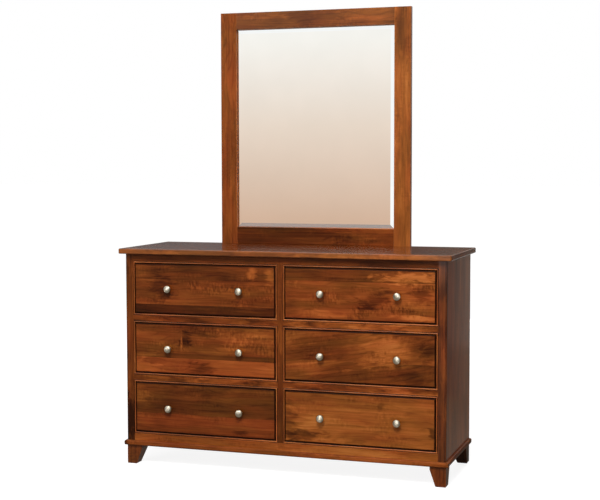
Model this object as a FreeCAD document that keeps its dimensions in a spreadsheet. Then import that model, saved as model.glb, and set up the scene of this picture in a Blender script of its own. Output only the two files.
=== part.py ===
"""Six-drawer wooden dresser with a standing mirror.

The front faces -Y, +X is to the viewer's right and +Z is up. The origin lies on the floor, under the middle
of the whole box of the part. All sizes are in millimetres.
"""
import FreeCAD, Part
import math
import os
import re
import Sketcher

# Driving sizes. Every other size is worked out from these.
SIZES = {
    # Case
    "case_width": 1372,
    "case_depth": 473,
    "side_thickness": 19,
    "frame_thickness": 19,
    "stile_width": 33.5,
    "centre_stile_width": 23,
    "top_rail_height": 30.5,
    "mid_rail_height": 23,
    "bottom_rail_height": 51.5,
    "stile_round": 3,
    "back_thickness": 6,
    "back_rabbet": 9,
    "bottom_thickness": 12,
    "cleat_height": 60,
    "corner_block_height": 30,
    "stretcher_thickness": 19,
    "stretcher_width": 80,
    "back_rail_height": 90,
    # Drawer openings and the bead round each of them
    "opening_height": 213,
    "quirk_width": 1.5,
    "quirk_depth": 3,
    "bead_width": 6,
    "bead_proud": 1,
    "bead_round": 2.8,
    # Top board
    "top_thickness": 22,
    "top_front_overhang": 27,
    "top_side_overhang": 22,
    "top_edge_round": 4,
    "top_corner_round": 6,
    # Feet and base moulding
    "foot_height": 80,
    "foot_top_width": 66,
    "foot_base_width": 42,
    "foot_straight": 12,
    "foot_chamfer": 2.5,
    "moulding_height": 21,
    "moulding_projection": 10,
    "moulding_round": 6,
    # Drawers
    "drawer_gap": 3,
    "front_thickness": 20,
    "front_round": 3,
    "box_side_thickness": 14,
    "box_lift": 16,
    "box_top_room": 22,
    "box_back_room": 27,
    "box_bottom_thickness": 6,
    "box_bottom_lift": 10,
    "box_groove": 6,
    "pin_inset": 28,
    "pin_tip_width": 7,
    "pin_slope": 2.5,
    # Telescopic drawer slides
    "slide_thickness": 12.7,
    "slide_height": 45,
    "slide_gauge": 1.2,
    "slide_clearance": 0.4,
    "slide_setback": 2,
    "slide_end_room": 20,
    # Knobs and their screws
    "knob_spacing": 316,
    "knob_width": 31,
    "knob_projection": 26,
    "knob_head_thickness": 12,
    "knob_skirt": 3.5,
    "knob_dome_rise": 6,
    "knob_rim_round": 1,
    "knob_neck_width": 12,
    "knob_foot_width": 17,
    "knob_foot_thickness": 3,
    "knob_foot_taper": 2,
    "knob_screw_width": 4,
    "knob_screw_bite": 12,
    "knob_screw_head_width": 9,
    "knob_screw_head_thickness": 2.5,
    "screw_clearance": 0.15,
    # Cross recess in the heads of all screws
    "recess_length": 5,
    "recess_width": 1.1,
    "recess_depth": 1.6,
    # Mirror
    "mirror_width": 862,
    "mirror_height": 1014,
    "mirror_thickness": 22,
    "mirror_frame_width": 73,
    "mirror_rabbet": 10,
    "mirror_edge_round": 1.5,
    "glass_thickness": 5,
    "glass_clearance": 0.8,
    "bevel_width": 27,
    "bevel_depth": 2.5,
    "backing_thickness": 6,
    # Boards that hold the mirror
    "support_width": 60,
    "support_thickness": 19,
    "support_below": 130,
    "support_above": 760,
    # Countersunk wood screws in the supports, under the top and over the feet
    "screw_width": 4.5,
    "screw_head_width": 9,
    "screw_head_depth": 3.5,
    "support_screw_bite": 13,
    "mirror_screw_inset": 70,
    "case_screw_inset": 24,
    "top_screw_bite": 13,
    "top_screw_inset": 90,
    "foot_screw_bite": 30,
    "foot_screw_inset": 42,
}

# How many dovetail pins hold each corner of a drawer's box
PIN_COUNT = 4

# Sizes and places that follow from the driving sizes
FOLLOWING = {
    "half_case": "case_width / 2",
    "face_y": "(top_front_overhang - case_depth - support_thickness) / 2",
    "frame_back_y": "face_y + frame_thickness",
    "back_y": "face_y + case_depth",
    "panel_front_y": "back_y - back_thickness",
    "middle_y": "(face_y + back_y) / 2",
    "inner_depth": "case_depth - frame_thickness - back_thickness",
    "inner_half": "half_case - side_thickness",
    "bead_strip": "quirk_width + bead_width",
    "opening_half": "(half_case - centre_stile_width / 2 - stile_width - 2 * bead_strip) / 2",
    "frame_opening_width": "2 * opening_half + 2 * bead_strip",
    "frame_opening_height": "opening_height + 2 * bead_strip",
    "row_pitch": "frame_opening_height + mid_rail_height",
    "first_row_z": "foot_height + bottom_rail_height + bead_strip",
    "column_x": "centre_stile_width / 2 + bead_strip + opening_half",
    "partition_thickness": "centre_stile_width / 2 + bead_strip",
    "frame_top_z": "first_row_z + 2 * row_pitch + opening_height + bead_strip",
    "case_top_z": "frame_top_z + top_rail_height",
    "top_z": "case_top_z + top_thickness",
    "bottom_z": "foot_height + corner_block_height",
    "box_height": "opening_height - box_lift - box_top_room",
    "box_length": "case_depth - front_thickness - back_thickness - box_back_room",
    "box_half": "opening_half - slide_thickness",
    "box_inner_half": "box_half - box_side_thickness",
    "groove_z": "box_lift + box_bottom_lift",
    "floor_z": "groove_z + box_bottom_thickness",
    "box_end_y": "front_thickness + box_length",
    "box_middle_y": "(front_thickness + box_end_y) / 2",
    "pin_pitch": f"(box_height - 2 * pin_inset) / {PIN_COUNT - 1}",
    "inner_front_back_y": "front_thickness + box_side_thickness",
    "slide_z": "box_lift + box_height / 2",
    "slide_start_y": "front_thickness + slide_setback",
    "slide_length": "box_length - slide_end_room",
    "slide_step": "slide_gauge + slide_clearance",
    "knob_z": "opening_height / 2",
    "knob_screw_hole": "knob_screw_width / 2 + screw_clearance",
    "mirror_half": "mirror_width / 2",
    "sight_half": "mirror_half - mirror_frame_width",
    "mirror_front_y": "back_y - mirror_thickness",
    "rabbet_depth": "glass_thickness + backing_thickness",
    "pane_half": "sight_half + mirror_rabbet - glass_clearance",
    "pane_height": "mirror_height - 2 * mirror_frame_width + 2 * mirror_rabbet - 2 * glass_clearance",
    "pane_z": "top_z + mirror_frame_width - mirror_rabbet + glass_clearance",
    "support_x": "mirror_half - mirror_frame_width / 2",
}

ROWS = ("bottom", "middle", "top")
COLUMNS = (("left", "-1"), ("right", "1"))
ALONG_X = (1, 0, 0)
ALONG_Y = (0, 1, 0)
SHEET_NAME = "Sizes"
SMALL = 0.001
# How far a cutting tool runs past the faces that it cuts
OVERRUN = 1

doc = FreeCAD.newDocument("Dresser")
nodes = []


def fill_sheet():
    """Writes the driving sizes to the sheet, each under its own alias."""
    sheet = doc.addObject("Spreadsheet::Sheet", SHEET_NAME)
    for row, (word, value) in enumerate(SIZES.items(), start=1):
        sheet.set(f"A{row}", word)
        sheet.set(f"B{row}", str(value))
        sheet.setAlias(f"B{row}", word)
    doc.recompute()


def spelled_out(words, driving):
    """Replaces each following size by its rule, and each driving size by what driving gives for it."""
    def swap(match):
        word = match.group(0)
        if word in FOLLOWING:
            return "(" + spelled_out(FOLLOWING[word], driving) + ")"
        if word in SIZES:
            return driving(word)
        return word
    return re.sub(r"[a-z][a-z_]*", swap, words)


def bind(thing, path, words):
    """Ties one property of a document object to the sheet."""
    thing.setExpression(path, spelled_out(words, lambda word: f"{SHEET_NAME}.{word}"))


def number(words):
    """The present value of a size, to draw a sketch about right before it is constrained."""
    return FreeCAD.Units.parseQuantity(spelled_out(words, lambda word: f"({SIZES[word]})")).Value


def place(piece, corner):
    """Ties a piece's place to the sheet."""
    for axis, words in zip("xyz", corner):
        bind(piece, "Placement.Base." + axis, words)


def board(name, low, extent):
    """A plain sawn board, from its low corner and its size along X, Y and Z."""
    piece = doc.addObject("Part::Box", name)
    for side, words in zip(("Length", "Width", "Height"), extent):
        bind(piece, side, words)
    place(piece, low)
    return piece


def mirrored(name, source, normal=ALONG_X, base_y=None):
    """The mirror image of a piece, across the middle of the part unless base_y names another plane."""
    piece = doc.addObject("Part::Mirroring", name)
    piece.Source = source
    piece.Normal = normal
    if base_y:
        bind(piece, "Base.y", base_y)
    return piece


def group(name, pieces, corner=None):
    """Several separate solids under one name, moved together if corner is given."""
    piece = doc.addObject("Part::Compound", name)
    piece.Links = pieces
    if corner:
        place(piece, corner)
    return piece


def cut_from(name, base, tool):
    """What is left of a piece once a tool shape is taken away."""
    piece = doc.addObject("Part::Cut", name)
    piece.Base = base
    piece.Tool = tool
    return piece


def joined(name, base, added):
    """One solid of a piece and what stands out of it."""
    piece = doc.addObject("Part::Fuse", name)
    piece.Base = base
    piece.Tool = added
    piece.Refine = True
    return piece


def rotation(axis, angle):
    """A place at the origin, turned about an axis by an angle in degrees."""
    return FreeCAD.Placement(FreeCAD.Vector(), FreeCAD.Rotation(FreeCAD.Vector(*axis), angle))


def turned(name, source, axis, angle, corner):
    """A copy of a piece, turned about an axis through its origin and then moved."""
    piece = doc.addObject("Part::Compound", name)
    piece.Links = [source]
    piece.Placement = rotation(axis, angle)
    place(piece, corner)
    return piece


def keep(piece):
    """Marks a piece as one of the part's nodes."""
    nodes.append(piece)
    return piece


def new_body(name):
    """An empty solid that is drawn and built up in steps."""
    return doc.addObject("PartDesign::Body", name)


def arc_about_axis(start, end):
    """An arc from a point below its centre on the sketch's upright axis to a point on its right."""
    middle = (end.x ** 2 + end.y ** 2 - start.y ** 2) / (2 * (end.y - start.y))
    circle = Part.Circle(FreeCAD.Vector(0, middle, 0), FreeCAD.Vector(0, 0, 1), middle - start.y)
    return Part.ArcOfCircle(circle, -math.pi / 2, math.atan2(end.y - middle, end.x))


def outline(body, plane, points, tag="outline", dome=None):
    """A closed outline on one of the body's own planes, each corner tied to the sheet.

    Its runs are straight, but for the run dome, which is an arc about the upright axis, down to that axis.
    """
    sketch = body.newObject("Sketcher::SketchObject", f"{body.Name}_{tag}")
    support = [feature for feature in body.Origin.OriginFeatures if feature.Role == plane][0]
    sketch.AttachmentSupport = [(support, "")]
    sketch.MapMode = "FlatFace"
    corners = [FreeCAD.Vector(number(across), number(along), 0) for across, along in points]
    count = len(corners)
    # The first and last point of each run: an arc counts its own against the clock
    ends = [(2, 1) if index == dome else (1, 2) for index in range(count)]
    for index, corner in enumerate(corners):
        after = corners[(index + 1) % count]
        sketch.addGeometry(arc_about_axis(after, corner) if index == dome else Part.LineSegment(corner, after))
    for index in range(count):
        after = (index + 1) % count
        sketch.addConstraint(Sketcher.Constraint("Coincident", index, ends[index][1], after, ends[after][0]))
    if dome is not None:
        sketch.addConstraint(Sketcher.Constraint("PointOnObject", dome, 3, -2))
    for index, corner in enumerate(corners):
        for kind, value, words in zip(("DistanceX", "DistanceY"), corner, points[index]):
            spot = sketch.addConstraint(Sketcher.Constraint(kind, -1, 1, index, ends[index][0], value))
            bind(sketch, f"Constraints[{spot}]", words)
    return sketch


def pad(body, sketch, length, reverse=False):
    """Pushes an outline out to a solid."""
    feature = body.newObject("PartDesign::Pad", f"{sketch.Name}_pad")
    feature.Profile = sketch
    bind(feature, "Length", length)
    feature.Reversed = reverse
    doc.recompute()
    return feature


def spin(body, sketch):
    """Turns an outline round the sketch's upright axis."""
    feature = body.newObject("PartDesign::Revolution", f"{sketch.Name}_spin")
    feature.Profile = sketch
    feature.ReferenceAxis = (sketch, ["V_Axis"])
    feature.Angle = 360
    doc.recompute()
    return feature


def edges_where(feature, test):
    """The names of the feature's edges whose box passes a test."""
    return [f"Edge{index}" for index, edge in enumerate(feature.Shape.Edges, start=1) if test(edge.BoundBox)]


def soften(body, base, test, radius, tag="round"):
    """Rounds the edges of a feature that pass a test."""
    feature = body.newObject("PartDesign::Fillet", f"{base.Name}_{tag}")
    feature.Base = (base, edges_where(base, test))
    bind(feature, "Radius", radius)
    doc.recompute()
    return feature


def level(low, high, value):
    """True where a stretch lies wholly at one value."""
    return abs(low - value) < SMALL and abs(high - value) < SMALL


def rectangle(width, height, left="0", low="0"):
    """The four corners of a rectangle, from its low left corner."""
    right = f"{left} + {width}"
    high = f"{low} + {height}"
    return [(left, low), (right, low), (right, high), (left, high)]


def bore(name, centre, radius, length):
    """A round space along +Y, to be cut from a piece."""
    piece = doc.addObject("Part::Cylinder", name)
    piece.Placement = rotation(ALONG_X, -90)
    bind(piece, "Radius", radius)
    bind(piece, "Height", length)
    place(piece, centre)
    return piece


def make_screw(name, grip, extra):
    """A countersunk screw with its head at y = 0 and its point along -Y; extra widens it to cut its hole."""
    body = new_body(name)
    shank = f"screw_width / 2 + {extra}"
    head = f"screw_head_width / 2 + {extra}"
    tip = f"-({grip}) - {extra}"
    points = [("0", tip), (shank, tip), (shank, "-screw_head_depth"), (head, "0"), ("0", "0")]
    spin(body, outline(body, "XY_Plane", points))
    return body


def recessed(name, screw, head_y="0"):
    """A screw with a cross cut into its head, which faces +Y at head_y, for the driver."""
    low = f"{head_y} - recess_depth"
    depth = f"recess_depth + {OVERRUN}"
    slots = []
    for way, across, up in (("level", "recess_length", "recess_width"),
                            ("upright", "recess_width", "recess_length")):
        slots.append(board(f"{name}_{way}_slot", (f"-{across} / 2", low, f"-{up} / 2"), (across, depth, up)))
    return cut_from(f"{name}_recessed", screw, joined(f"{name}_cross", *slots))


def screw_set(name, grip, lean, spots):
    """Like screws with their heads at several spots, and their holes; lean turns their points about X."""
    sets = []
    for kind, extra in (("screw", "0"), ("hole", "screw_clearance")):
        pattern = make_screw(f"{name}_{kind}", grip, extra)
        if kind == "screw":
            pattern = recessed(f"{name}_{kind}", pattern)
        copies = [turned(f"{name}_{kind}_{index}", pattern, ALONG_X, lean, spot)
                  for index, spot in enumerate(spots)]
        sets.append(group(f"{name}_{kind}s", copies))
    return sets


def make_screws():
    """The wood screws of the case, under one name, and the holes for each kind of them."""
    heights = ("top_z + support_above - mirror_screw_inset", "top_z + mirror_screw_inset",
               "case_top_z - case_screw_inset", "case_top_z - back_rail_height + case_screw_inset")
    support_spots = []
    top_spots = []
    foot_spots = []
    for side, sign in COLUMNS:
        for height in heights:
            support_spots.append((f"{sign} * support_x", "back_y + support_thickness", height))
        for across in ("(partition_thickness + top_screw_inset)", "(inner_half - top_screw_inset)"):
            top_spots.append((f"{sign} * {across}", "frame_back_y + stretcher_width / 2",
                              "case_top_z - stretcher_thickness"))
        for along in ("face_y + foot_screw_inset", "back_y - foot_screw_inset"):
            foot_spots.append((f"{sign} * (half_case - foot_screw_inset)", along, "bottom_z"))
    sets = {"support": screw_set("support", "support_thickness + support_screw_bite", 0, support_spots),
            "top": screw_set("top", "stretcher_thickness + top_screw_bite", -90, top_spots),
            "foot": screw_set("foot", "corner_block_height + foot_screw_bite", 90, foot_spots)}
    keep(group("wood_screws", [screws for screws, holes in sets.values()]))
    return {kind: holes for kind, (screws, holes) in sets.items()}


def make_top(screw_holes):
    """The top board, with its upper and lower edges eased and its back edge left square."""
    body = new_body("top_blank")
    width = "(case_width + 2 * top_side_overhang)"
    depth = "(case_depth + top_front_overhang)"
    solid = pad(body, outline(body, "XY_Plane", rectangle(width, depth)), "top_thickness")

    def front_corner(box):
        return level(box.YMin, box.YMax, 0) and level(box.XMin, box.XMax, box.XMin)
    corners = soften(body, solid, front_corner, "top_corner_round", "corners")
    back = number(depth)

    def rim(box):
        return level(box.ZMin, box.ZMax, box.ZMin) and box.YMin < back - SMALL
    soften(body, corners, rim, "min(top_edge_round; 0.45 * top_thickness)", "rim")
    place(body, ("-half_case - top_side_overhang", "face_y - top_front_overhang", "case_top_z"))
    keep(cut_from("top", body, screw_holes))


def make_sides():
    """The two side panels, each with a rabbet for the back panel."""
    length = "(case_depth - frame_thickness)"
    body = new_body("side_right")
    points = [("0", "0"), ("side_thickness", "0"), ("side_thickness", length), ("back_rabbet", length),
              ("back_rabbet", f"{length} - back_thickness"), ("0", f"{length} - back_thickness")]
    pad(body, outline(body, "XY_Plane", points), "case_top_z - foot_height")
    place(body, ("inner_half", "frame_back_y", "foot_height"))
    keep(mirrored("side_left", body))
    keep(body)


def make_inner_boards(foot_holes):
    """The boards inside the case: floor, partitions, cleats and corner blocks."""
    keep(board("bottom_panel", ("-inner_half", "frame_back_y", "bottom_z"),
               ("2 * inner_half", "inner_depth", "bottom_thickness")))
    right = board("partition_right", ("0", "frame_back_y", "bottom_z + bottom_thickness"),
                  ("partition_thickness", "inner_depth", "case_top_z - bottom_z - bottom_thickness"))
    keep(group("centre_partitions", [mirrored("partition_left", right), right]))

    cleats = []
    for row, row_name in enumerate(ROWS):
        low = f"first_row_z + {row} * row_pitch + slide_z - cleat_height / 2"
        cleat = board(f"cleat_{row_name}_right", ("column_x + opening_half", "frame_back_y", low),
                      ("inner_half - column_x - opening_half", "inner_depth", "cleat_height"))
        cleats += [mirrored(f"cleat_{row_name}_left", cleat), cleat]
    keep(group("slide_cleats", cleats))

    inset = "(foot_top_width - side_thickness)"
    front_inset = "(foot_top_width - frame_thickness)"
    rear_inset = "(foot_top_width - back_thickness)"
    front = board("block_front_right", (f"inner_half - {inset}", "frame_back_y", "foot_height"),
                  (inset, front_inset, "corner_block_height"))
    rear = board("block_rear_right",
                 (f"inner_half - {inset}", f"panel_front_y - {rear_inset}", "foot_height"),
                 (inset, rear_inset, "corner_block_height"))
    blocks = group("corner_blocks_blank", [front, rear, mirrored("block_front_left", front),
                                           mirrored("block_rear_left", rear)])
    keep(cut_from("corner_blocks", blocks, foot_holes))


def make_face_frame():
    """The stiles and rails of the front."""
    body = new_body("stile_right")
    solid = pad(body, outline(body, "XY_Plane", rectangle("stile_width", "frame_thickness")),
                "case_top_z - foot_height")
    outer = number("stile_width")

    def outer_corner(box):
        return level(box.XMin, box.XMax, outer) and level(box.YMin, box.YMax, 0)
    soften(body, solid, outer_corner, "min(stile_round; 0.45 * frame_thickness)")
    place(body, ("half_case - stile_width", "face_y", "foot_height"))
    keep(mirrored("stile_left", body))
    keep(body)
    keep(board("stile_centre", ("-centre_stile_width / 2", "face_y", "foot_height + bottom_rail_height"),
               ("centre_stile_width", "frame_thickness", "frame_top_z - foot_height - bottom_rail_height")))

    clear = "(half_case - stile_width)"
    keep(board("rail_top", (f"-{clear}", "face_y", "frame_top_z"),
               (f"2 * {clear}", "frame_thickness", "top_rail_height")))
    keep(board("rail_bottom", (f"-{clear}", "face_y", "foot_height"),
               (f"2 * {clear}", "frame_thickness", "bottom_rail_height")))
    rails = []
    for row in range(1, len(ROWS)):
        low = f"first_row_z + {row} * row_pitch - bead_strip - mid_rail_height"
        rail = board(f"mid_rail_{row}_right", ("centre_stile_width / 2", "face_y", low),
                     ("frame_opening_width", "frame_thickness", "mid_rail_height"))
        rails += [mirrored(f"mid_rail_{row}_left", rail), rail]
    keep(group("mid_rails", rails))


def make_bead_strip(name, length):
    """One bead, mitred at both ends, lying along +X with its outer edge at the bottom."""
    body = new_body(name)
    foot = outline(body, "XZ_Plane", [("0", "0"), (length, "0"), (f"{length} - bead_strip", "bead_strip"),
                                      ("bead_strip", "bead_strip")], "foot")
    pad(body, foot, "frame_thickness - quirk_depth", True)
    nose_points = [("quirk_width", "quirk_width"), (f"{length} - quirk_width", "quirk_width"),
                   (f"{length} - bead_strip", "bead_strip"), ("bead_strip", "bead_strip")]
    nose = outline(body, "XZ_Plane", nose_points, "nose")
    solid = pad(body, nose, "quirk_depth + bead_proud")
    front = number("-quirk_depth - bead_proud")
    shortest = number(f"{length} - 2 * bead_strip")

    def long_front_edge(box):
        return level(box.YMin, box.YMax, front) and box.XMax - box.XMin > shortest - SMALL
    radius = "min(bead_round; 0.48 * bead_width; 0.9 * (quirk_depth + bead_proud))"
    soften(body, solid, long_front_edge, radius)
    return body


def make_beads():
    """The mitred beads that line the drawer openings."""
    across = make_bead_strip("bead_across", "frame_opening_width")
    upright = make_bead_strip("bead_upright", "frame_opening_height")
    left = "-opening_half - bead_strip"
    right = "opening_half + bead_strip"
    low = "-bead_strip"
    high = "opening_height + bead_strip"
    strips = [turned("bead_low", across, ALONG_Y, 0, (left, "quirk_depth", low)),
              turned("bead_high", across, ALONG_Y, 180, (right, "quirk_depth", high)),
              turned("bead_left", upright, ALONG_Y, 90, (left, "quirk_depth", high)),
              turned("bead_right", upright, ALONG_Y, -90, (right, "quirk_depth", low))]
    openings = []
    for row, row_name in enumerate(ROWS):
        for column, sign in COLUMNS:
            openings.append(group(f"beads_{row_name}_{column}", strips, opening_corner(row, sign)))
    keep(group("opening_beads", openings))


def opening_corner(row, sign):
    """The middle of the lower edge of a drawer opening, on the front face of the case."""
    return (f"{sign} * column_x", "face_y", f"first_row_z + {row} * row_pitch")


def make_moulding():
    """The moulding round the foot of the case, mitred at its front corners."""
    front = new_body("moulding_front")
    reach = "half_case + moulding_projection"
    points = [(f"-({reach})", "-moulding_projection"), (reach, "-moulding_projection"), ("half_case", "0"),
              ("-half_case", "0")]
    solid = pad(front, outline(front, "XY_Plane", points), "moulding_height")
    outer = number("moulding_projection")
    radius = "min(moulding_round; 0.9 * moulding_projection; 0.45 * moulding_height)"

    def front_edge(box):
        return level(box.YMin, box.YMax, -outer) and level(box.ZMin, box.ZMax, box.ZMin)
    soften(front, solid, front_edge, radius)
    place(front, ("0", "face_y", "foot_height"))

    right = new_body("moulding_right")
    points = [("0", "0"), ("moulding_projection", "-moulding_projection"),
              ("moulding_projection", "case_depth"), ("0", "case_depth")]
    solid = pad(right, outline(right, "XY_Plane", points), "moulding_height")

    def side_edge(box):
        return level(box.XMin, box.XMax, outer) and level(box.ZMin, box.ZMax, box.ZMin)
    soften(right, solid, side_edge, radius)
    place(right, ("half_case", "face_y", "foot_height"))
    keep(group("base_moulding", [front, right, mirrored("moulding_left", right)]))


def make_feet(screw_holes):
    """The four feet, each tapered on its two inner faces and bored from above for its screw."""
    blank = new_body("foot_blank")
    shoulder = "foot_height - foot_straight"
    points = [("0", "0"), ("-foot_base_width", "0"), ("-foot_top_width", shoulder),
              ("-foot_top_width", "foot_height"), ("0", "foot_height")]
    block = pad(blank, outline(blank, "XZ_Plane", points), "foot_top_width", True)
    wedge = outline(blank, "YZ_Plane", [("foot_base_width", "0"), ("foot_top_width", "0"),
                                        ("foot_top_width", shoulder)], "wedge")
    taper = blank.newObject("PartDesign::Pocket", "foot_taper")
    taper.Profile = wedge
    taper.Type = "ThroughAll"
    doc.recompute()
    if taper.Shape.Volume > block.Shape.Volume * (1 - SMALL):
        raise RuntimeError("the second taper of the foot cut nothing")
    ease = blank.newObject("PartDesign::Chamfer", "foot_ease")
    ease.Base = (taper, edges_where(taper, lambda box: level(box.ZMin, box.ZMax, 0)))
    bind(ease, "Size", "foot_chamfer")
    place(blank, ("half_case", "face_y", "0"))
    foot = cut_from("foot_front_right", blank, screw_holes)
    rear = mirrored("foot_rear_right", foot, ALONG_Y, "middle_y")
    keep(mirrored("foot_front_left", foot))
    keep(foot)
    keep(mirrored("foot_rear_left", rear))
    keep(rear)


def make_drawer_front():
    """A drawer front with its front edges rounded, bored for the knob screws."""
    body = new_body("pattern_drawer_front")
    points = rectangle("(2 * opening_half - 2 * drawer_gap)", "(opening_height - 2 * drawer_gap)",
                       "-opening_half + drawer_gap", "drawer_gap")
    solid = pad(body, outline(body, "XZ_Plane", points), "front_thickness", True)
    soften(body, solid, lambda box: level(box.YMin, box.YMax, 0), "min(front_round; 0.45 * front_thickness)")
    bores = group("front_bores", knob_bores("front", "0", "front_thickness"))
    return cut_from("pattern_bored_front", body, bores)


def knob_bores(tag, low_y, depth):
    """The two screw holes of a drawer's knobs through one board."""
    bores = []
    for side, sign in COLUMNS:
        centre = (f"{sign} * knob_spacing / 2", f"{low_y} - {OVERRUN}", "knob_z")
        bores.append(bore(f"{tag}_bore_{side}", centre, "knob_screw_hole", f"{depth} + 2 * {OVERRUN}"))
    return bores


def make_pins():
    """The dovetail pins at the two front corners of a drawer's box, narrow at their tips."""
    pin = new_body("box_pin")
    tip = "pin_tip_width / 2"
    root = f"{tip} + pin_slope"
    points = [("0", f"-{tip}"), ("box_side_thickness", f"-({root})"),
              ("box_side_thickness", root), ("0", tip)]
    pad(pin, outline(pin, "YZ_Plane", points), "box_side_thickness")
    row = []
    for index in range(PIN_COUNT):
        spot = ("box_inner_half", "front_thickness", f"box_lift + pin_inset + {index} * pin_pitch")
        row.append(group(f"box_pin_{index}", [pin], spot))
    right = group("front_pins_right", row)
    return group("front_pins", [mirrored("front_pins_left", right), right])


def make_drawer_box():
    """The drawer's box: dovetailed sides with grooves, inner front, back, and a bottom in the grooves."""
    front_pins = make_pins()
    rear_pins = mirrored("rear_pins", front_pins, ALONG_Y, "box_middle_y")
    blank = new_body("box_side_blank")
    shelf = "box_inner_half + box_groove"
    top = "box_lift + box_height"
    points = [("box_inner_half", "box_lift"), ("box_half", "box_lift"), ("box_half", top),
              ("box_inner_half", top), ("box_inner_half", "floor_z"), (shelf, "floor_z"), (shelf, "groove_z"),
              ("box_inner_half", "groove_z")]
    pad(blank, outline(blank, "XZ_Plane", points), "box_length", True)
    place(blank, ("0", "front_thickness", "0"))
    side = cut_from("box_side_right", blank, group("box_pins", [front_pins, rear_pins]))
    bottom = board("box_bottom", (f"-({shelf})", "inner_front_back_y - box_groove", "groove_z"),
                   (f"2 * ({shelf})", "box_end_y - inner_front_back_y + box_groove", "box_bottom_thickness"))
    inner_front = board("box_inner_front_blank", ("-box_inner_half", "front_thickness", "box_lift"),
                        ("2 * box_inner_half", "box_side_thickness", "box_height"))
    inner_front = joined("box_inner_front_pinned", inner_front, front_pins)
    spaces = knob_bores("inner", "front_thickness", "box_side_thickness") + [bottom]
    inner_front = cut_from("box_inner_front", inner_front, group("inner_front_spaces", spaces))
    back = board("box_back_blank", ("-box_inner_half", "box_end_y - box_side_thickness", "floor_z"),
                 ("2 * box_inner_half", "box_side_thickness", f"{top} - floor_z"))
    back = joined("box_back", back, rear_pins)
    return [mirrored("box_side_left", side), side, inner_front, back, bottom]


def make_knobs():
    """Two turned knobs with domed faces, and the screws that hold them from inside the drawer."""
    knob = new_body("knob_pattern")
    bite = "(knob_screw_bite + screw_clearance)"
    under = "(knob_projection - knob_head_thickness)"
    rim = "(knob_projection - knob_dome_rise)"
    points = [("knob_screw_hole", "0"), ("knob_foot_width / 2", "0"),
              ("knob_foot_width / 2", "-knob_foot_thickness"),
              ("knob_neck_width / 2", "-knob_foot_thickness - knob_foot_taper"),
              ("knob_neck_width / 2", f"-{under}"),
              ("knob_width / 2", f"-{under} - knob_skirt"), ("knob_width / 2", f"-{rim}"),
              ("0", "-knob_projection"), ("0", f"-{bite}"), ("knob_screw_hole", f"-{bite}")]
    solid = spin(knob, outline(knob, "XY_Plane", points, dome=points.index(("0", "-knob_projection")) - 1))
    front = number(f"-{rim}")
    soften(knob, solid, lambda box: level(box.YMin, box.YMax, front), "knob_rim_round")

    screw = new_body("knob_screw_pattern")
    seat = "inner_front_back_y"
    head = "knob_screw_head_width / 2"
    shank = "knob_screw_width / 2"
    crown = f"{seat} + knob_screw_head_thickness"
    points = [("0", "-knob_screw_bite"), (shank, "-knob_screw_bite"), (shank, seat), (head, seat),
              (head, crown), ("0", crown)]
    spin(screw, outline(screw, "XY_Plane", points))
    screw = recessed("knob_screw", screw, crown)
    pieces = []
    for side, sign in COLUMNS:
        spot = (f"{sign} * knob_spacing / 2", "0", "knob_z")
        pieces.append(group(f"knob_{side}", [knob], spot))
        pieces.append(group(f"knob_screw_{side}", [screw], spot))
    return pieces


def channel(name, web_x, tip_x, half_height, toward):
    """A rolled steel channel with its web at web_x, its lips reaching to tip_x, running along +Y."""
    body = new_body(name)
    floor = f"{web_x} + {toward} * slide_gauge"
    low = f"slide_z - {half_height}"
    high = f"slide_z + {half_height}"
    points = [(web_x, low), (tip_x, low), (tip_x, f"{low} + slide_gauge"), (floor, f"{low} + slide_gauge"),
              (floor, f"{high} - slide_gauge"), (tip_x, f"{high} - slide_gauge"), (tip_x, high),
              (web_x, high)]
    pad(body, outline(body, "XZ_Plane", points), "slide_length", True)
    place(body, ("0", "slide_start_y", "0"))
    return [mirrored(f"{name}_left", body), body]


def make_slides():
    """The three nested members of a pair of drawer slides: case, middle and drawer member."""
    wall = "opening_half"
    case_half = "slide_height / 2"
    middle_half = f"({case_half} - slide_step)"
    drawer_half = f"({case_half} - 2 * slide_step)"
    case = channel("case_member", wall, f"{wall} - slide_thickness + 2 * slide_gauge", case_half, "-1")
    middle = channel("middle_member", f"{wall} - slide_step", f"{wall} - slide_thickness + slide_step",
                     middle_half, "-1")
    drawer = channel("drawer_member", f"{wall} - slide_thickness", f"{wall} - 2 * slide_step",
                     drawer_half, "1")
    return case, middle, drawer


def make_drawers():
    """Six like drawers, each with its front, box, knobs and slides, and the slide members on the case."""
    front = make_drawer_front()
    box = make_drawer_box()
    knobs = make_knobs()
    case_members, middle_members, drawer_members = make_slides()
    kinds = (("drawer_front", [front]), ("drawer_box", box), ("drawer_knobs", knobs),
             ("slide_drawer_members", drawer_members), ("slide_middle_members", middle_members))
    fixed = []
    for row, row_name in enumerate(ROWS):
        for column, sign in COLUMNS:
            spot = opening_corner(row, sign)
            for kind, pieces in kinds:
                keep(group(f"{kind}_{row_name}_{column}", pieces, spot))
            fixed.append(group(f"case_members_{row_name}_{column}", case_members, spot))
    keep(group("slide_case_members", fixed))


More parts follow.
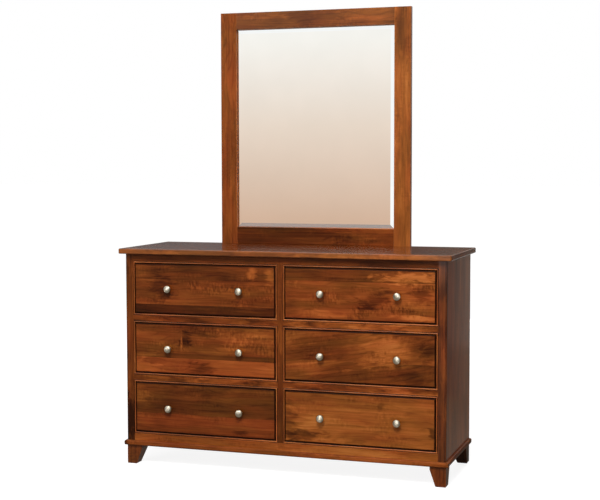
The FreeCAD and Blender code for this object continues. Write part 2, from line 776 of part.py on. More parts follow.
def make_back(holes):
    """The back panel, the stretchers under the top, and the two supports that hold the mirror."""
    support = board("support_blank",
                    ("support_x - support_width / 2", "back_y", "case_top_z - support_below"),
                    ("support_width", "support_thickness", "top_thickness + support_below + support_above"))
    supports = group("supports_blank", [mirrored("support_blank_left", support), support])
    keep(cut_from("mirror_supports", supports, holes["support"]))

    panel = board("back_panel_blank", ("-inner_half - back_rabbet", "panel_front_y", "foot_height"),
                  ("2 * inner_half + 2 * back_rabbet", "back_thickness", "case_top_z - foot_height"))
    keep(cut_from("back_panel", panel, holes["support"]))

    span = "(inner_half - partition_thickness)"
    front = board("stretcher_front_blank",
                  ("partition_thickness", "frame_back_y", "case_top_z - stretcher_thickness"),
                  (span, "stretcher_width", "stretcher_thickness"))
    front = cut_from("stretcher_front_right", front, holes["top"])
    rear = board("stretcher_rear_blank",
                 ("partition_thickness", "panel_front_y - stretcher_thickness",
                  "case_top_z - back_rail_height"),
                 (span, "stretcher_thickness", "back_rail_height"))
    rear = cut_from("stretcher_rear_right", rear, holes["support"])
    keep(group("top_stretchers", [front, rear, mirrored("stretcher_front_left", front),
                                  mirrored("stretcher_rear_left", rear)]))


def make_mirror_frame(screw_holes):
    """The mirror's two stiles and two rails, with a rabbet behind for the glass and its backing."""
    rabbet = board("glass_space", ("-sight_half - mirror_rabbet", "back_y - rabbet_depth",
                                   "top_z + mirror_frame_width - mirror_rabbet"),
                   ("2 * sight_half + 2 * mirror_rabbet", "rabbet_depth",
                    "mirror_height - 2 * mirror_frame_width + 2 * mirror_rabbet"))
    body = new_body("mirror_stile_blank")
    section = rectangle("mirror_frame_width", "mirror_thickness")
    solid = pad(body, outline(body, "XY_Plane", section), "mirror_height")

    def upright_front_edge(box):
        return level(box.YMin, box.YMax, 0) and level(box.XMin, box.XMax, box.XMin)
    soften(body, solid, upright_front_edge, "mirror_edge_round")
    place(body, ("sight_half", "mirror_front_y", "top_z"))
    stile = cut_from("mirror_stile_right", body, group("stile_spaces", [rabbet, screw_holes]))
    keep(mirrored("mirror_stile_left", stile))
    keep(stile)

    def level_front_edge(box):
        return level(box.YMin, box.YMax, 0) and level(box.ZMin, box.ZMax, box.ZMin)
    lows = {"mirror_rail_bottom": "top_z", "mirror_rail_top": "top_z + mirror_height - mirror_frame_width"}
    for name, low in lows.items():
        body = new_body(f"{name}_blank")
        section = rectangle("mirror_thickness", "mirror_frame_width")
        solid = pad(body, outline(body, "YZ_Plane", section), "2 * sight_half")
        soften(body, solid, level_front_edge, "mirror_edge_round")
        place(body, ("-sight_half", "mirror_front_y", low))
        keep(cut_from(name, body, rabbet))


def make_glass():
    """The mirror's pane, bevelled all round its front, and the backing board behind it."""
    pane = new_body("mirror_glass")
    face = outline(pane, "XZ_Plane", rectangle("2 * pane_half", "pane_height"))
    solid = pad(pane, face, "glass_thickness", True)
    bevel = pane.newObject("PartDesign::Chamfer", "glass_bevel")
    bevel.Base = (solid, edges_where(solid, lambda box: level(box.YMin, box.YMax, 0)))
    bevel.ChamferType = "Two distances"
    bevel.FlipDirection = True
    bind(bevel, "Size", "bevel_width")
    bind(bevel, "Size2", "min(bevel_depth; 0.8 * glass_thickness)")
    doc.recompute()
    place(pane, ("-pane_half", "back_y - rabbet_depth", "pane_z"))
    keep(pane)
    keep(board("mirror_backing", ("-pane_half", "back_y - backing_thickness", "pane_z"),
               ("2 * pane_half", "backing_thickness", "pane_height")))


def check_document():
    """Stops if any step failed or any node isn't a sound solid."""
    doc.recompute()
    for item in doc.Objects:
        if "Invalid" in item.State or "Error" in item.State:
            raise RuntimeError(f"{item.Name} failed: {item.State}")
    for piece in nodes:
        if piece.Shape.isNull() or not piece.Shape.isValid() or not piece.Shape.Solids:
            raise RuntimeError(f"{piece.Label} has no sound shape")


def write_parts():
    """Writes each node to its own file."""
    os.makedirs("parts", exist_ok=True)
    for piece in nodes:
        piece.Shape.exportStep(f"parts/{piece.Label}.step")
        box = piece.Shape.BoundBox
        print(f"{piece.Label}: {len(piece.Shape.Solids)} solids, {box.XLength:.1f} x {box.YLength:.1f} x "
              f"{box.ZLength:.1f} mm")


fill_sheet()
screw_holes = make_screws()
make_top(screw_holes["top"])
make_sides()
make_inner_boards(screw_holes["foot"])
make_face_frame()
make_beads()
make_moulding()
make_feet(screw_holes["foot"])
make_drawers()
make_back(screw_holes)
make_mirror_frame(screw_holes["support"])
make_glass()
check_document()
write_parts()
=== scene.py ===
"""Looks of a stained maple dresser with a standing mirror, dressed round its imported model.

Everything is in metres, in the model's own frame: the front faces -Y, +X is to the viewer's right, +Z is up.
"""
import logging
import math
from dataclasses import dataclass, field
from enum import Enum

import bmesh
import bpy
from mathutils import Matrix, Vector


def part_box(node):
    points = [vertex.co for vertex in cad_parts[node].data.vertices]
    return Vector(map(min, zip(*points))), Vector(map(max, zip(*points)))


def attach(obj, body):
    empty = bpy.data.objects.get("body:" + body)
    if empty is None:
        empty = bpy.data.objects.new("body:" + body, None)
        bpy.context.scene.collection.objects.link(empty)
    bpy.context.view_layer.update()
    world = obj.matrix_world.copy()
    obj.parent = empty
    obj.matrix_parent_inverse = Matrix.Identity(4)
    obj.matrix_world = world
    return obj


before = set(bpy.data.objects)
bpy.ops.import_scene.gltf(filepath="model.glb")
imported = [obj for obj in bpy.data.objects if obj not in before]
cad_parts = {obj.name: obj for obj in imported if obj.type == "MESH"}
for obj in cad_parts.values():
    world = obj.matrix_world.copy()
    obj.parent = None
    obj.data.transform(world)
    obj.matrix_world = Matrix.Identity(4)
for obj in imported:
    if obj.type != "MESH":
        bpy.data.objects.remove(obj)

log = logging.getLogger("dresser")

Socket = bpy.types.NodeSocket
Feed = Socket | float | tuple[float, ...]
Colour = tuple[float, float, float]
Stretch = tuple[float, float, float]

ROWS = ("bottom", "middle", "top")
COLUMNS = ("left", "right")
ACROSS = Vector((1.0, 0.0, 0.0))
DEEP = Vector((0.0, 1.0, 0.0))
UPWARD = Vector((0.0, 0.0, 1.0))
ZINC = (0.62, 0.63, 0.64)
PLY_PALE = (0.36, 0.20, 0.09)
PLY_DARK = (0.22, 0.11, 0.045)


class Axis(Enum):
    """An axis of the frame, by its number."""

    X = 0
    Y = 1
    Z = 2


class Lay(Enum):
    """How a board lies: its axes along the grain, across it and through its thickness."""

    FRONT_LEVEL = "XZY"
    FRONT_UPRIGHT = "ZXY"
    SIDE_LEVEL = "YZX"
    SIDE_UPRIGHT = "ZYX"
    FLAT = "XYZ"


class Edge(Enum):
    """An edge of a board: its axis, and whether it is at the low or the high end of the board's box."""

    LEFT = (Axis.X, 0)
    RIGHT = (Axis.X, 1)
    LOWER = (Axis.Z, 0)
    UPPER = (Axis.Z, 1)


class Hue(Enum):
    """The stain's two hues, each in even steps from its darkest to its lightest, in linear colours."""

    GOLD = ((0.019, 0.0052, 0.0011), (0.057, 0.0155, 0.0028), (0.127, 0.0360, 0.0056),
            (0.250, 0.0710, 0.0115), (0.400, 0.1280, 0.0265))
    RED = ((0.025, 0.0044, 0.0010), (0.073, 0.0128, 0.0025), (0.160, 0.0300, 0.0057),
           (0.275, 0.0570, 0.0112), (0.430, 0.1090, 0.0250))

    def stops(self) -> list[tuple[float, Colour]]:
        """The hue's colours at even places from 0 to 1."""
        last = len(self.value) - 1
        return [(index / last, colour) for index, colour in enumerate(self.value)]


class Sheet:
    """A node tree of one material or world, with short calls for the nodes that the finishes need."""

    def __init__(self, owner: bpy.types.Material | bpy.types.World) -> None:
        """Starts an empty tree.

        Args:
            owner: What the tree belongs to.
        """
        owner.use_nodes = True
        self.tree = owner.node_tree
        self.tree.nodes.clear()

    def add(self, kind: str, feeds: dict[str | int, Feed] | None = None,
            **settings: object) -> bpy.types.Node:
        """Adds one node.

        Args:
            kind: The node's type, without its "ShaderNode" start.
            feeds: What goes into its sockets, by name or number: a plain value or another node's output.
            settings: The node's own properties.

        Returns:
            The node.
        """
        node = self.tree.nodes.new("ShaderNode" + kind)
        for name, value in settings.items():
            setattr(node, name, value)
        for socket, value in (feeds or {}).items():
            if isinstance(value, Socket):
                self.tree.links.new(value, node.inputs[socket])
            else:
                node.inputs[socket].default_value = value
        return node

    def point(self) -> Socket:
        """The point's own place."""
        return self.add("TexCoord").outputs["Object"]

    def axes(self) -> dict[str, Socket]:
        """The point's own coordinates, by letter."""
        return dict(zip("XYZ", self.add("SeparateXYZ", {0: self.point()}).outputs))

    def join(self, x: Feed, y: Feed, z: Feed) -> Socket:
        """The place that has these coordinates."""
        return self.add("CombineXYZ", {0: x, 1: y, 2: z}).outputs[0]

    def length(self, vector: Feed) -> Socket:
        """How long a vector is."""
        return self.add("VectorMath", {0: vector}, operation="LENGTH").outputs[1]

    def choose(self, mask: Feed, first: Feed, second: Feed) -> Socket:
        """The first value where a mask is 0, and the second where it is 1."""
        return self.add("Mix", {0: mask, 2: first, 3: second}, data_type="FLOAT").outputs[0]

    def blend(self, mask: Feed, first: Feed, second: Feed) -> Socket:
        """The first colour where a mask is 0, and the second where it is 1."""
        return self.add("Mix", {0: mask, 6: first, 7: second}, data_type="RGBA").outputs[2]

    def math(self, operation: str, *values: Feed, clamp: bool = False) -> Socket:
        """The result of one sum on numbers."""
        return self.add("Math", dict(enumerate(values)), operation=operation, use_clamp=clamp).outputs[0]

    def clamped(self, value: Feed) -> Socket:
        """A value kept between 0 and 1."""
        return self.math("ADD", value, 0.0, clamp=True)

    def apart(self, first: Feed, second: Feed) -> Socket:
        """How far two values lie apart."""
        return self.math("ABSOLUTE", self.math("SUBTRACT", first, second))

    def inset(self, value: Feed, low: float, high: float) -> Socket:
        """How far a value lies in from the nearer of two ends."""
        return self.math("SUBTRACT", (high - low) / 2, self.apart(value, (low + high) / 2))

    def spread(self, value: Feed, low: float, high: float) -> Socket:
        """A smooth step of a value from 0 at low to 1 at high."""
        feeds = {"Value": value, "From Min": low, "From Max": high}
        return self.add("MapRange", feeds, interpolation_type="SMOOTHSTEP").outputs[0]

    def share(self, value: Feed, low: float, high: float, first: float = 0.0, last: float = 1.0) -> Socket:
        """A straight run from first, where a value is low, to last, where it is high."""
        feeds = {"Value": value, "From Min": low, "From Max": high, "To Min": first, "To Max": last}
        return self.add("MapRange", feeds).outputs[0]

    def noise(self, vector: Feed, stretch: Stretch, detail: float = 2.0, distortion: float = 0.0) -> Socket:
        """Noise in a stretched space.

        Args:
            vector: The place on the surface, in metres.
            stretch: How many features fit in a metre along each axis.
            detail: How many finer layers lie on the first.
            distortion: How much the noise bends itself.

        Returns:
            A value about 0.5.
        """
        scaled = self.add("VectorMath", {0: vector, 1: stretch}, operation="MULTIPLY").outputs[0]
        feeds = {"Vector": scaled, "Scale": 1.0, "Detail": detail, "Roughness": 0.55,
                 "Distortion": distortion}
        return self.add("TexNoise", feeds).outputs["Fac"]

    def ramp(self, value: Feed, stops: list[tuple[float, tuple[float, ...]]], steps: bool = False) -> Socket:
        """Colours laid out along a value from 0 to 1.

        Args:
            value: Where to read.
            stops: Places and their colours, with an alpha where it is less than full.
            steps: Whether the colours change at once instead of blending.

        Returns:
            The colour.
        """
        node = self.add("ValToRGB", {0: value})
        band = node.color_ramp
        band.interpolation = "CONSTANT" if steps else "LINEAR"
        while len(band.elements) < len(stops):
            band.elements.new(0.5)
        for element, (place, colour) in zip(band.elements, stops):
            element.position = place
            element.color = (*colour, 1.0)[:4]
        return node.outputs[0]

    def two_tone(self, value: Feed, first: Colour, second: Colour, reach: float = 0.2) -> Socket:
        """Runs from one colour to another within a reach of the middle value, 0.5."""
        return self.ramp(value, [(0.5 - reach, first), (0.5 + reach, second)])

    def weigh(self, start: Feed, *terms: tuple[Feed, float]) -> Socket:
        """A sum of weighed terms.

        Args:
            start: What the sum starts from.
            terms: Values about 0.5 and what each counts for.

        Returns:
            The sum, with each term counted about its middle.
        """
        total = start
        for value, weight in terms:
            centred = self.math("SUBTRACT", value, 0.5)
            total = self.math("MULTIPLY_ADD", centred, weight, total)
        return total

    def bump(self, height: Feed, strength: float, distance: float) -> Socket:
        """The surface's normal, roughened by a height."""
        feeds = {"Strength": strength, "Distance": distance, "Height": height}
        return self.add("Bump", feeds).outputs[0]

    def finish(self, shader: Socket, output: str = "OutputMaterial") -> None:
        """Joins a shader to the tree's output."""
        self.add(output, {"Surface": shader})

    def coat(self, feeds: dict[str | int, Feed]) -> None:
        """Ends the tree in the shader of a solid surface with these feeds."""
        self.finish(self.add("BsdfPrincipled", feeds).outputs[0])


def fresh(name: str) -> tuple[bpy.types.Material, Sheet]:
    """A new material under that name, and its empty tree."""
    material = bpy.data.materials.new(name)
    return material, Sheet(material)


def put(mesh: bpy.types.Mesh, material: bpy.types.Material) -> bpy.types.Object:
    """Puts a mesh into the scene.

    Args:
        mesh: The mesh, which gives the piece its name.
        material: Its finish.

    Returns:
        The piece.
    """
    mesh.materials.append(material)
    piece = bpy.data.objects.new(mesh.name, mesh)
    bpy.context.scene.collection.objects.link(piece)
    return piece


@dataclass(frozen=True)
class Board:
    """One board of a glued-up panel.

    It has a share of the panel's width, a tone, a shift for where its figure is cut from, a redness and a
    curl.
    """

    share: float
    tone: float
    shift: float
    red: float = 0.5
    curl: float = 0.3


def single(*figure: float) -> tuple[Board, ...]:
    """The one board of a piece that isn't glued up, by its tone, shift, redness and curl."""
    return (Board(1.0, *figure),)


@dataclass(frozen=True)
class Patch:
    """A soft patch of lighter or darker tone: mostly where the stain took more or less, and on the beads'
    sills a painted highlight.

    It is placed and sized by shares of the piece's width and height, and turned in degrees.
    """

    across: float
    up: float
    width: float
    height: float
    depth: float
    turn: float = 0.0


@dataclass(frozen=True)
class Turned:
    """Where a node's grain turns: the lay that it has past a distance, along X, from a line on each side."""

    lay: Lay
    line: float
    past: float

    def parts(self, sheet: Sheet, axes: dict[str, Feed], plain: list[Feed]) -> list[Socket]:
        """The coordinates along, across and through the grain.

        Args:
            sheet: The tree.
            axes: The point's own coordinates, by letter.
            plain: The coordinates where the grain hasn't turned.

        Returns:
            The three coordinates.
        """
        offset = sheet.apart(sheet.math("ABSOLUTE", axes["X"]), self.line)
        mask = sheet.math("GREATER_THAN", offset, self.past)
        return [sheet.choose(mask, part, axes[letter]) for part, letter in zip(plain, self.lay.value)]


@dataclass(frozen=True)
class Grain:
    """A wood's grain: features to the metre along, across and through it, and its growth rings in metres.

    The rings have half their pitch, the width of their lines, and how far the clouds bend them.
    """

    cloud: Stretch
    streak: Stretch
    fibre: Stretch
    ring_half: float
    ring_line: float
    ring_bend: float

    def rings(self, sheet: Sheet, place: Feed, cloud: Feed) -> Socket:
        """The growth rings.

        Args:
            sheet: The tree.
            place: The point in the board's own space, grain first.
            cloud: The clouds that bend the rings.

        Returns:
            0 on a ring's line and 1 off it.
        """
        across = sheet.add("SeparateXYZ", {0: place}).outputs[1]
        bent = sheet.weigh(across, (cloud, self.ring_bend))
        return sheet.spread(sheet.math("PINGPONG", bent, self.ring_half), 0.0, self.ring_line)


STAINED_GRAIN = Grain(cloud=(2.6, 10.0, 10.0), streak=(1.6, 130.0, 130.0), fibre=(14.0, 620.0, 620.0),
                      ring_half=0.009, ring_line=0.0035, ring_bend=0.10)
CLEAR_GRAIN = Grain(cloud=(3.0, 14.0, 14.0), streak=(3.0, 140.0, 140.0), fibre=(16.0, 700.0, 700.0),
                    ring_half=0.008, ring_line=0.003, ring_bend=0.16)


@dataclass(frozen=True)
class StainedMaple:
    """Maple under a brown stain and satin lacquer, with its blotches, streaks, rings and curl."""

    lay: Lay
    boards: tuple[Board, ...]
    patches: tuple[Patch, ...] = ()
    seed: float = 0.0
    slant: float = 0.0
    turned: Turned | None = None

    # How strongly each kind of figure shows, and how close the clouds lie.
    blotch: float = 0.75
    close: float = 1.0
    mottle: float = 0.28
    streak: float = 0.34
    ring_depth: float = 0.08
    fibre_depth: float = 0.20
    curl_depth: float = 1.6
    red_drift: float = 1.6

    # Features to the metre along, across and through the grain, and how far apart the boards are cut.
    mottle_grain: Stretch = (12.0, 46.0, 46.0)
    ripple_grain: Stretch = (105.0, 48.0, 48.0)
    curl_grain: Stretch = (7.0, 16.0, 16.0)
    red_grain: Stretch = (5.0, 22.0, 22.0)
    ragged_grain: Stretch = (18.0, 60.0, 60.0)
    curl_from: float = 0.46
    curl_full: float = 0.70
    cut_along: float = 7.3
    cut_across: float = 3.1

    # The lacquer.
    roughness: float = 0.36
    gloss_drift: float = 0.10
    coat: float = 0.14
    coat_roughness: float = 0.09
    sheen: float = 0.06
    relief: float = 0.10
    relief_height: float = 0.0004

    # Painted shade of the gap round a piece, which darkens its rim; the rim is narrower at its left end.
    rim: float = 0.0
    rim_core: float = 0.4
    rim_depth: float = 0.9
    rim_front: float = 0.003
    rim_back: float = 0.010
    left_slack: float = 0.004

    # Painted light on an edge, and painted shade in grooves and gaps behind a plane.
    lit_edge: Edge | None = None
    lit_edge_lift: float = 0.5
    lit_edge_core: float = 0.0004
    lit_edge_reach: float = 0.0014
    shade_behind: float | None = None
    groove_depth: float = 0.7
    groove_reach: float = 0.0012

    # The patches: how ragged they are, where they are full and where they end, in shares of their size.
    ragged: float = 3.0
    patch_core: float = 0.25
    patch_reach: float = 1.35
    patch_through: float = 100.0

    def material(self, name: str, low: Vector, high: Vector) -> bpy.types.Material:
        """Makes the finish for one piece.

        Args:
            name: The material's name.
            low: The piece's low corner.
            high: The piece's high corner.

        Returns:
            The material.
        """
        material, sheet = fresh(name)
        axes = sheet.axes()
        parts = [axes[letter] for letter in self.lay.value]
        along, across, through = self.turned.parts(sheet, axes, parts) if self.turned else parts
        tone, red, curl, shift = self.board_facts(sheet, across, low, high)
        tilted = sheet.math("MULTIPLY_ADD", along, -self.slant, across)
        place = sheet.join(sheet.weigh(along, (shift, self.cut_along)),
                           sheet.weigh(tilted, (shift, self.cut_across)),
                           sheet.math("ADD", through, self.seed))
        fibre = sheet.noise(place, STAINED_GRAIN.fibre, detail=3.0)
        tone = self.figure(sheet, place, tone, curl, fibre)
        tone = self.patched(sheet, tone, place, low, high)
        tone = sheet.clamped(self.edged(sheet, axes, tone, low, high))
        red = sheet.weigh(red, (sheet.noise(place, self.red_grain, detail=1.0), self.red_drift))
        golden = sheet.ramp(tone, Hue.GOLD.stops())
        ruddy = sheet.ramp(tone, Hue.RED.stops())
        sheet.coat({"Base Color": sheet.blend(red, golden, ruddy),
                    "Roughness": sheet.weigh(self.roughness, (fibre, self.gloss_drift)),
                    "Normal": sheet.bump(fibre, self.relief, self.relief_height),
                    "Specular IOR Level": self.sheen, "Coat Weight": self.coat,
                    "Coat Roughness": self.coat_roughness})
        return material

    def board_facts(self, sheet: Sheet, across: Feed, low: Vector, high: Vector) -> tuple[Socket, ...]:
        """Tone, redness, curl and shift of the board that a point lies on.

        Args:
            sheet: The tree.
            across: The point's place across the grain.
            low: The piece's low corner.
            high: The piece's high corner.

        Returns:
            Four values.
        """
        axis = Axis[self.lay.value[1]].value
        place = sheet.share(across, low[axis], high[axis])
        stops = []
        edge = 0.0
        for board in self.boards:
            stops.append((edge, (board.tone, board.red, board.curl, (board.shift + self.seed) % 1.0)))
            edge += board.share
        facts = sheet.ramp(place, stops if len(stops) > 1 else stops * 2, steps=True)
        return (*sheet.add("SeparateColor", {0: facts}).outputs, facts.node.outputs["Alpha"])

    def figure(self, sheet: Sheet, place: Feed, tone: Feed, curl: Feed, fibre: Feed) -> Socket:
        """The board's tone with its blotches, streaks, rings and curl.

        Args:
            sheet: The tree.
            place: The point in the board's own space, grain first.
            tone: The board's tone.
            curl: How curly the board is.
            fibre: The fine grain at that point.

        Returns:
            The tone at that point.
        """
        closeness = tuple(count * self.close for count in STAINED_GRAIN.cloud)
        cloud = sheet.noise(place, closeness, distortion=0.6)
        mottle = sheet.noise(place, self.mottle_grain, distortion=0.4)
        streak = sheet.noise(place, STAINED_GRAIN.streak)
        line = STAINED_GRAIN.rings(sheet, place, cloud)
        ripple = sheet.noise(place, self.ripple_grain, distortion=0.3)
        where = sheet.spread(sheet.noise(place, self.curl_grain), self.curl_from, self.curl_full)
        curled = sheet.math("MULTIPLY", where, curl)
        flame = sheet.math("MULTIPLY", sheet.math("SUBTRACT", ripple, 0.5), curled)
        toned = sheet.weigh(tone, (cloud, self.blotch), (mottle, self.mottle), (streak, self.streak),
                            (line, self.ring_depth), (fibre, self.fibre_depth))
        return sheet.math("MULTIPLY_ADD", flame, self.curl_depth, toned)

    def edged(self, sheet: Sheet, axes: dict[str, Feed], tone: Feed, low: Vector, high: Vector) -> Socket:
        """The tone with painted shade along a rim and in grooves, and painted light on an edge.

        Args:
            sheet: The tree.
            axes: The point's own coordinates.
            tone: The tone so far.
            low: The piece's low corner.
            high: The piece's high corner.

        Returns:
            The new tone.
        """
        # Painted shade: the rim darkens towards the gap round the piece, and fades off behind its front face.
        if self.rim:
            inset = 1.0
            for axis, slack in ((Axis.X, self.left_slack), (Axis.Z, 0.0)):
                from_ends = sheet.inset(axes[axis.name], low[axis.value] - slack, high[axis.value])
                inset = sheet.math("MINIMUM", inset, from_ends)
            near = sheet.spread(axes["Y"], low.y + self.rim_back, low.y + self.rim_front)
            gap_shade = sheet.math("MULTIPLY", sheet.spread(inset, self.rim, self.rim_core * self.rim), near)
            tone = sheet.math("MULTIPLY_ADD", gap_shade, -self.rim_depth, tone)
        # Painted light: the edge is lighter, for the light that the mirror glass throws on it.
        if self.lit_edge:
            axis, end = self.lit_edge.value
            plane = (low, high)[end][axis.value]
            edge_light = sheet.spread(sheet.apart(axes[axis.name], plane), self.lit_edge_reach, self.lit_edge_core)
            tone = sheet.math("MULTIPLY_ADD", edge_light, self.lit_edge_lift, tone)
        # Painted shade in the grooves and gaps that lie behind the plane.
        if self.shade_behind is not None:
            groove_shade = sheet.spread(axes["Y"], self.shade_behind, self.shade_behind + self.groove_reach)
            tone = sheet.math("MULTIPLY_ADD", groove_shade, -self.groove_depth, tone)
        return tone

    def patched(self, sheet: Sheet, tone: Feed, place: Feed, low: Vector, high: Vector) -> Socket:
        """The tone with its soft patches.

        Args:
            sheet: The tree.
            tone: The tone so far.
            place: The point in the board's own space, for ragged edges.
            low: The piece's low corner.
            high: The piece's high corner.

        Returns:
            The new tone.
        """
        point = sheet.point()
        ragged = sheet.noise(place, self.ragged_grain, detail=5.0, distortion=0.8)
        span = high - low
        for patch in self.patches:
            feeds = {"Vector": point,
                     "Location": low + Vector((patch.across * span.x, 0.0, patch.up * span.z)),
                     "Rotation": (0.0, -math.radians(patch.turn), 0.0),
                     "Scale": (patch.width * span.x, self.patch_through, patch.height * span.z)}
            far = sheet.length(sheet.add("Mapping", feeds, vector_type="TEXTURE").outputs[0])
            inside = sheet.spread(sheet.weigh(far, (ragged, self.ragged)), self.patch_reach, self.patch_core)
            tone = sheet.math("MULTIPLY_ADD", inside, patch.depth, tone)
        return tone


@dataclass(frozen=True)
class BareWood:
    """Pale wood under a clear seal: solid maple inside the case, or the faces of plywood."""

    lay: Lay
    pale: Colour = (0.52, 0.33, 0.16)
    dark: Colour = (0.36, 0.20, 0.085)
    seed: float = 0.0
    cloud: float = 0.5
    streak: float = 0.4
    fibre: float = 0.35
    ring_depth: float = 0.25
    roughness: float = 0.5
    gloss_drift: float = 0.12
    sheen: float = 0.3
    relief: float = 0.15
    relief_height: float = 0.0003

    def material(self, name: str) -> bpy.types.Material:
        """Makes the finish.

        Args:
            name: The material's name.

        Returns:
            The material.
        """
        material, sheet = fresh(name)
        axes = sheet.axes()
        self.paint(sheet, [axes[letter] for letter in self.lay.value], 0.5)
        return material

    def paint(self, sheet: Sheet, parts: list[Feed], start: Feed) -> None:
        """Lays the wood's grain and its seal on a sheet.

        Args:
            sheet: The tree.
            parts: The coordinates along, across and through the grain.
            start: The tone that the figure lies on, about 0.5.
        """
        along, across, through = parts
        place = sheet.join(along, across, sheet.math("ADD", through, self.seed))
        cloud = sheet.noise(place, CLEAR_GRAIN.cloud, detail=3.0, distortion=0.6)
        streak = sheet.noise(place, CLEAR_GRAIN.streak)
        fibre = sheet.noise(place, CLEAR_GRAIN.fibre, detail=3.0)
        line = CLEAR_GRAIN.rings(sheet, place, cloud)
        tone = sheet.weigh(start, (cloud, self.cloud), (streak, self.streak), (fibre, self.fibre),
                           (line, self.ring_depth))
        sheet.coat({"Base Color": sheet.two_tone(sheet.clamped(tone), self.dark, self.pale, reach=0.4),
                    "Roughness": sheet.weigh(self.roughness, (fibre, self.gloss_drift)),
                    "Normal": sheet.bump(fibre, self.relief, self.relief_height),
                    "Specular IOR Level": self.sheen})


def plywood(name: str, seed: float) -> bpy.types.Material:
    """The finish of a sheet of plywood under that name, with a seed for its figure."""
    return BareWood(Lay.FRONT_UPRIGHT, PLY_PALE, PLY_DARK, seed).material(name)


@dataclass(frozen=True)
class DovetailedBox:
    """A drawer's box of clear maple: level grain in its sides, end grain in its joints, a floor laid flat."""

    wood: BareWood
    board: float = 0.014
    floor: float = 0.016
    pin_inset: float = 0.028
    pin_pitch: float = 0.119 / 3
    pin_half: float = 0.0035
    pin_slope: float = 0.0025 / 0.014
    skin: float = 0.0003
    joint_line: float = 0.0004
    side_cut: float = 3.7
    floor_cut: float = 1.9
    end_dark: float = 0.45
    line_dark: float = 0.35
    floor_dark: float = 0.12

    def material(self, name: str, low: Vector, high: Vector) -> bpy.types.Material:
        """Makes the finish for one box.

        Args:
            name: The material's name.
            low: The box's low corner.
            high: The box's high corner.

        Returns:
            The material.
        """
        material, sheet = fresh(name)
        axes = sheet.axes()
        from_side = sheet.inset(axes["X"], low.x, high.x)
        from_end = sheet.inset(axes["Y"], low.y, high.y)
        lift = sheet.math("SUBTRACT", axes["Z"], low.z)
        to_pin = sheet.math("PINGPONG", sheet.math("SUBTRACT", lift, self.pin_inset), self.pin_pitch / 2)
        flank = sheet.math("MULTIPLY_ADD", from_end, self.pin_slope, self.pin_half)
        in_side = sheet.math("LESS_THAN", from_side, self.board + self.skin)
        in_end = sheet.math("LESS_THAN", from_end, self.board + self.skin)
        corner = sheet.math("MULTIPLY", in_side, in_end)
        pin = sheet.math("MULTIPLY", corner, sheet.math("LESS_THAN", to_pin, flank))
        side = sheet.math("SUBTRACT", in_side, pin)
        edge = sheet.math("MAXIMUM", in_side, in_end)
        floor = sheet.math("GREATER_THAN", sheet.math("LESS_THAN", lift, self.floor + self.skin), edge)
        parts = []
        for cross, level, laid in zip(Lay.FRONT_LEVEL.value, Lay.SIDE_LEVEL.value, Lay.FLAT.value):
            upright = sheet.choose(side, axes[cross], axes[level])
            parts.append(sheet.choose(floor, upright, axes[laid]))
        side_cut = sheet.math("MULTIPLY", side, self.side_cut)
        floor_cut = sheet.math("MULTIPLY", floor, self.floor_cut)
        parts[2] = sheet.math("ADD", parts[2], sheet.math("ADD", side_cut, floor_cut))
        pin_end = sheet.math("MULTIPLY", pin, sheet.math("LESS_THAN", from_side, self.skin))
        tail_end = sheet.math("MULTIPLY", side, sheet.math("LESS_THAN", from_end, self.skin))
        off_line = sheet.apart(to_pin, flank)
        line = sheet.math("MULTIPLY", corner, sheet.math("LESS_THAN", off_line, self.joint_line))
        start = 0.5
        for mask, dark in ((pin_end, self.end_dark), (tail_end, self.end_dark), (line, self.line_dark),
                           (floor, self.floor_dark)):
            start = sheet.math("MULTIPLY_ADD", mask, -dark, start)
        self.wood.paint(sheet, parts, start)
        return material


@dataclass(frozen=True)
class Metal:
    """Plated or brushed metal, with fine scratches that catch the light."""

    tint: Colour
    worn: Colour
    roughness: float
    scratch: Stretch
    cloud: Stretch = (90.0, 90.0, 90.0)
    scratch_gloss: float = 0.14
    cloud_gloss: float = 0.08
    relief: float = 0.06
    relief_height: float = 0.0002

    def material(self, name: str) -> bpy.types.Material:
        """Makes the finish.

        Args:
            name: The material's name.

        Returns:
            The material.
        """
        material, sheet = fresh(name)
        place = sheet.point()
        scratch = sheet.noise(place, self.scratch, detail=3.0)
        cloud = sheet.noise(place, self.cloud, detail=3.0)
        gloss = sheet.weigh(self.roughness, (scratch, self.scratch_gloss), (cloud, self.cloud_gloss))
        sheet.coat({"Base Color": sheet.two_tone(cloud, self.worn, self.tint), "Metallic": 1.0,
                    "Roughness": gloss, "Normal": sheet.bump(scratch, self.relief, self.relief_height)})
        return material


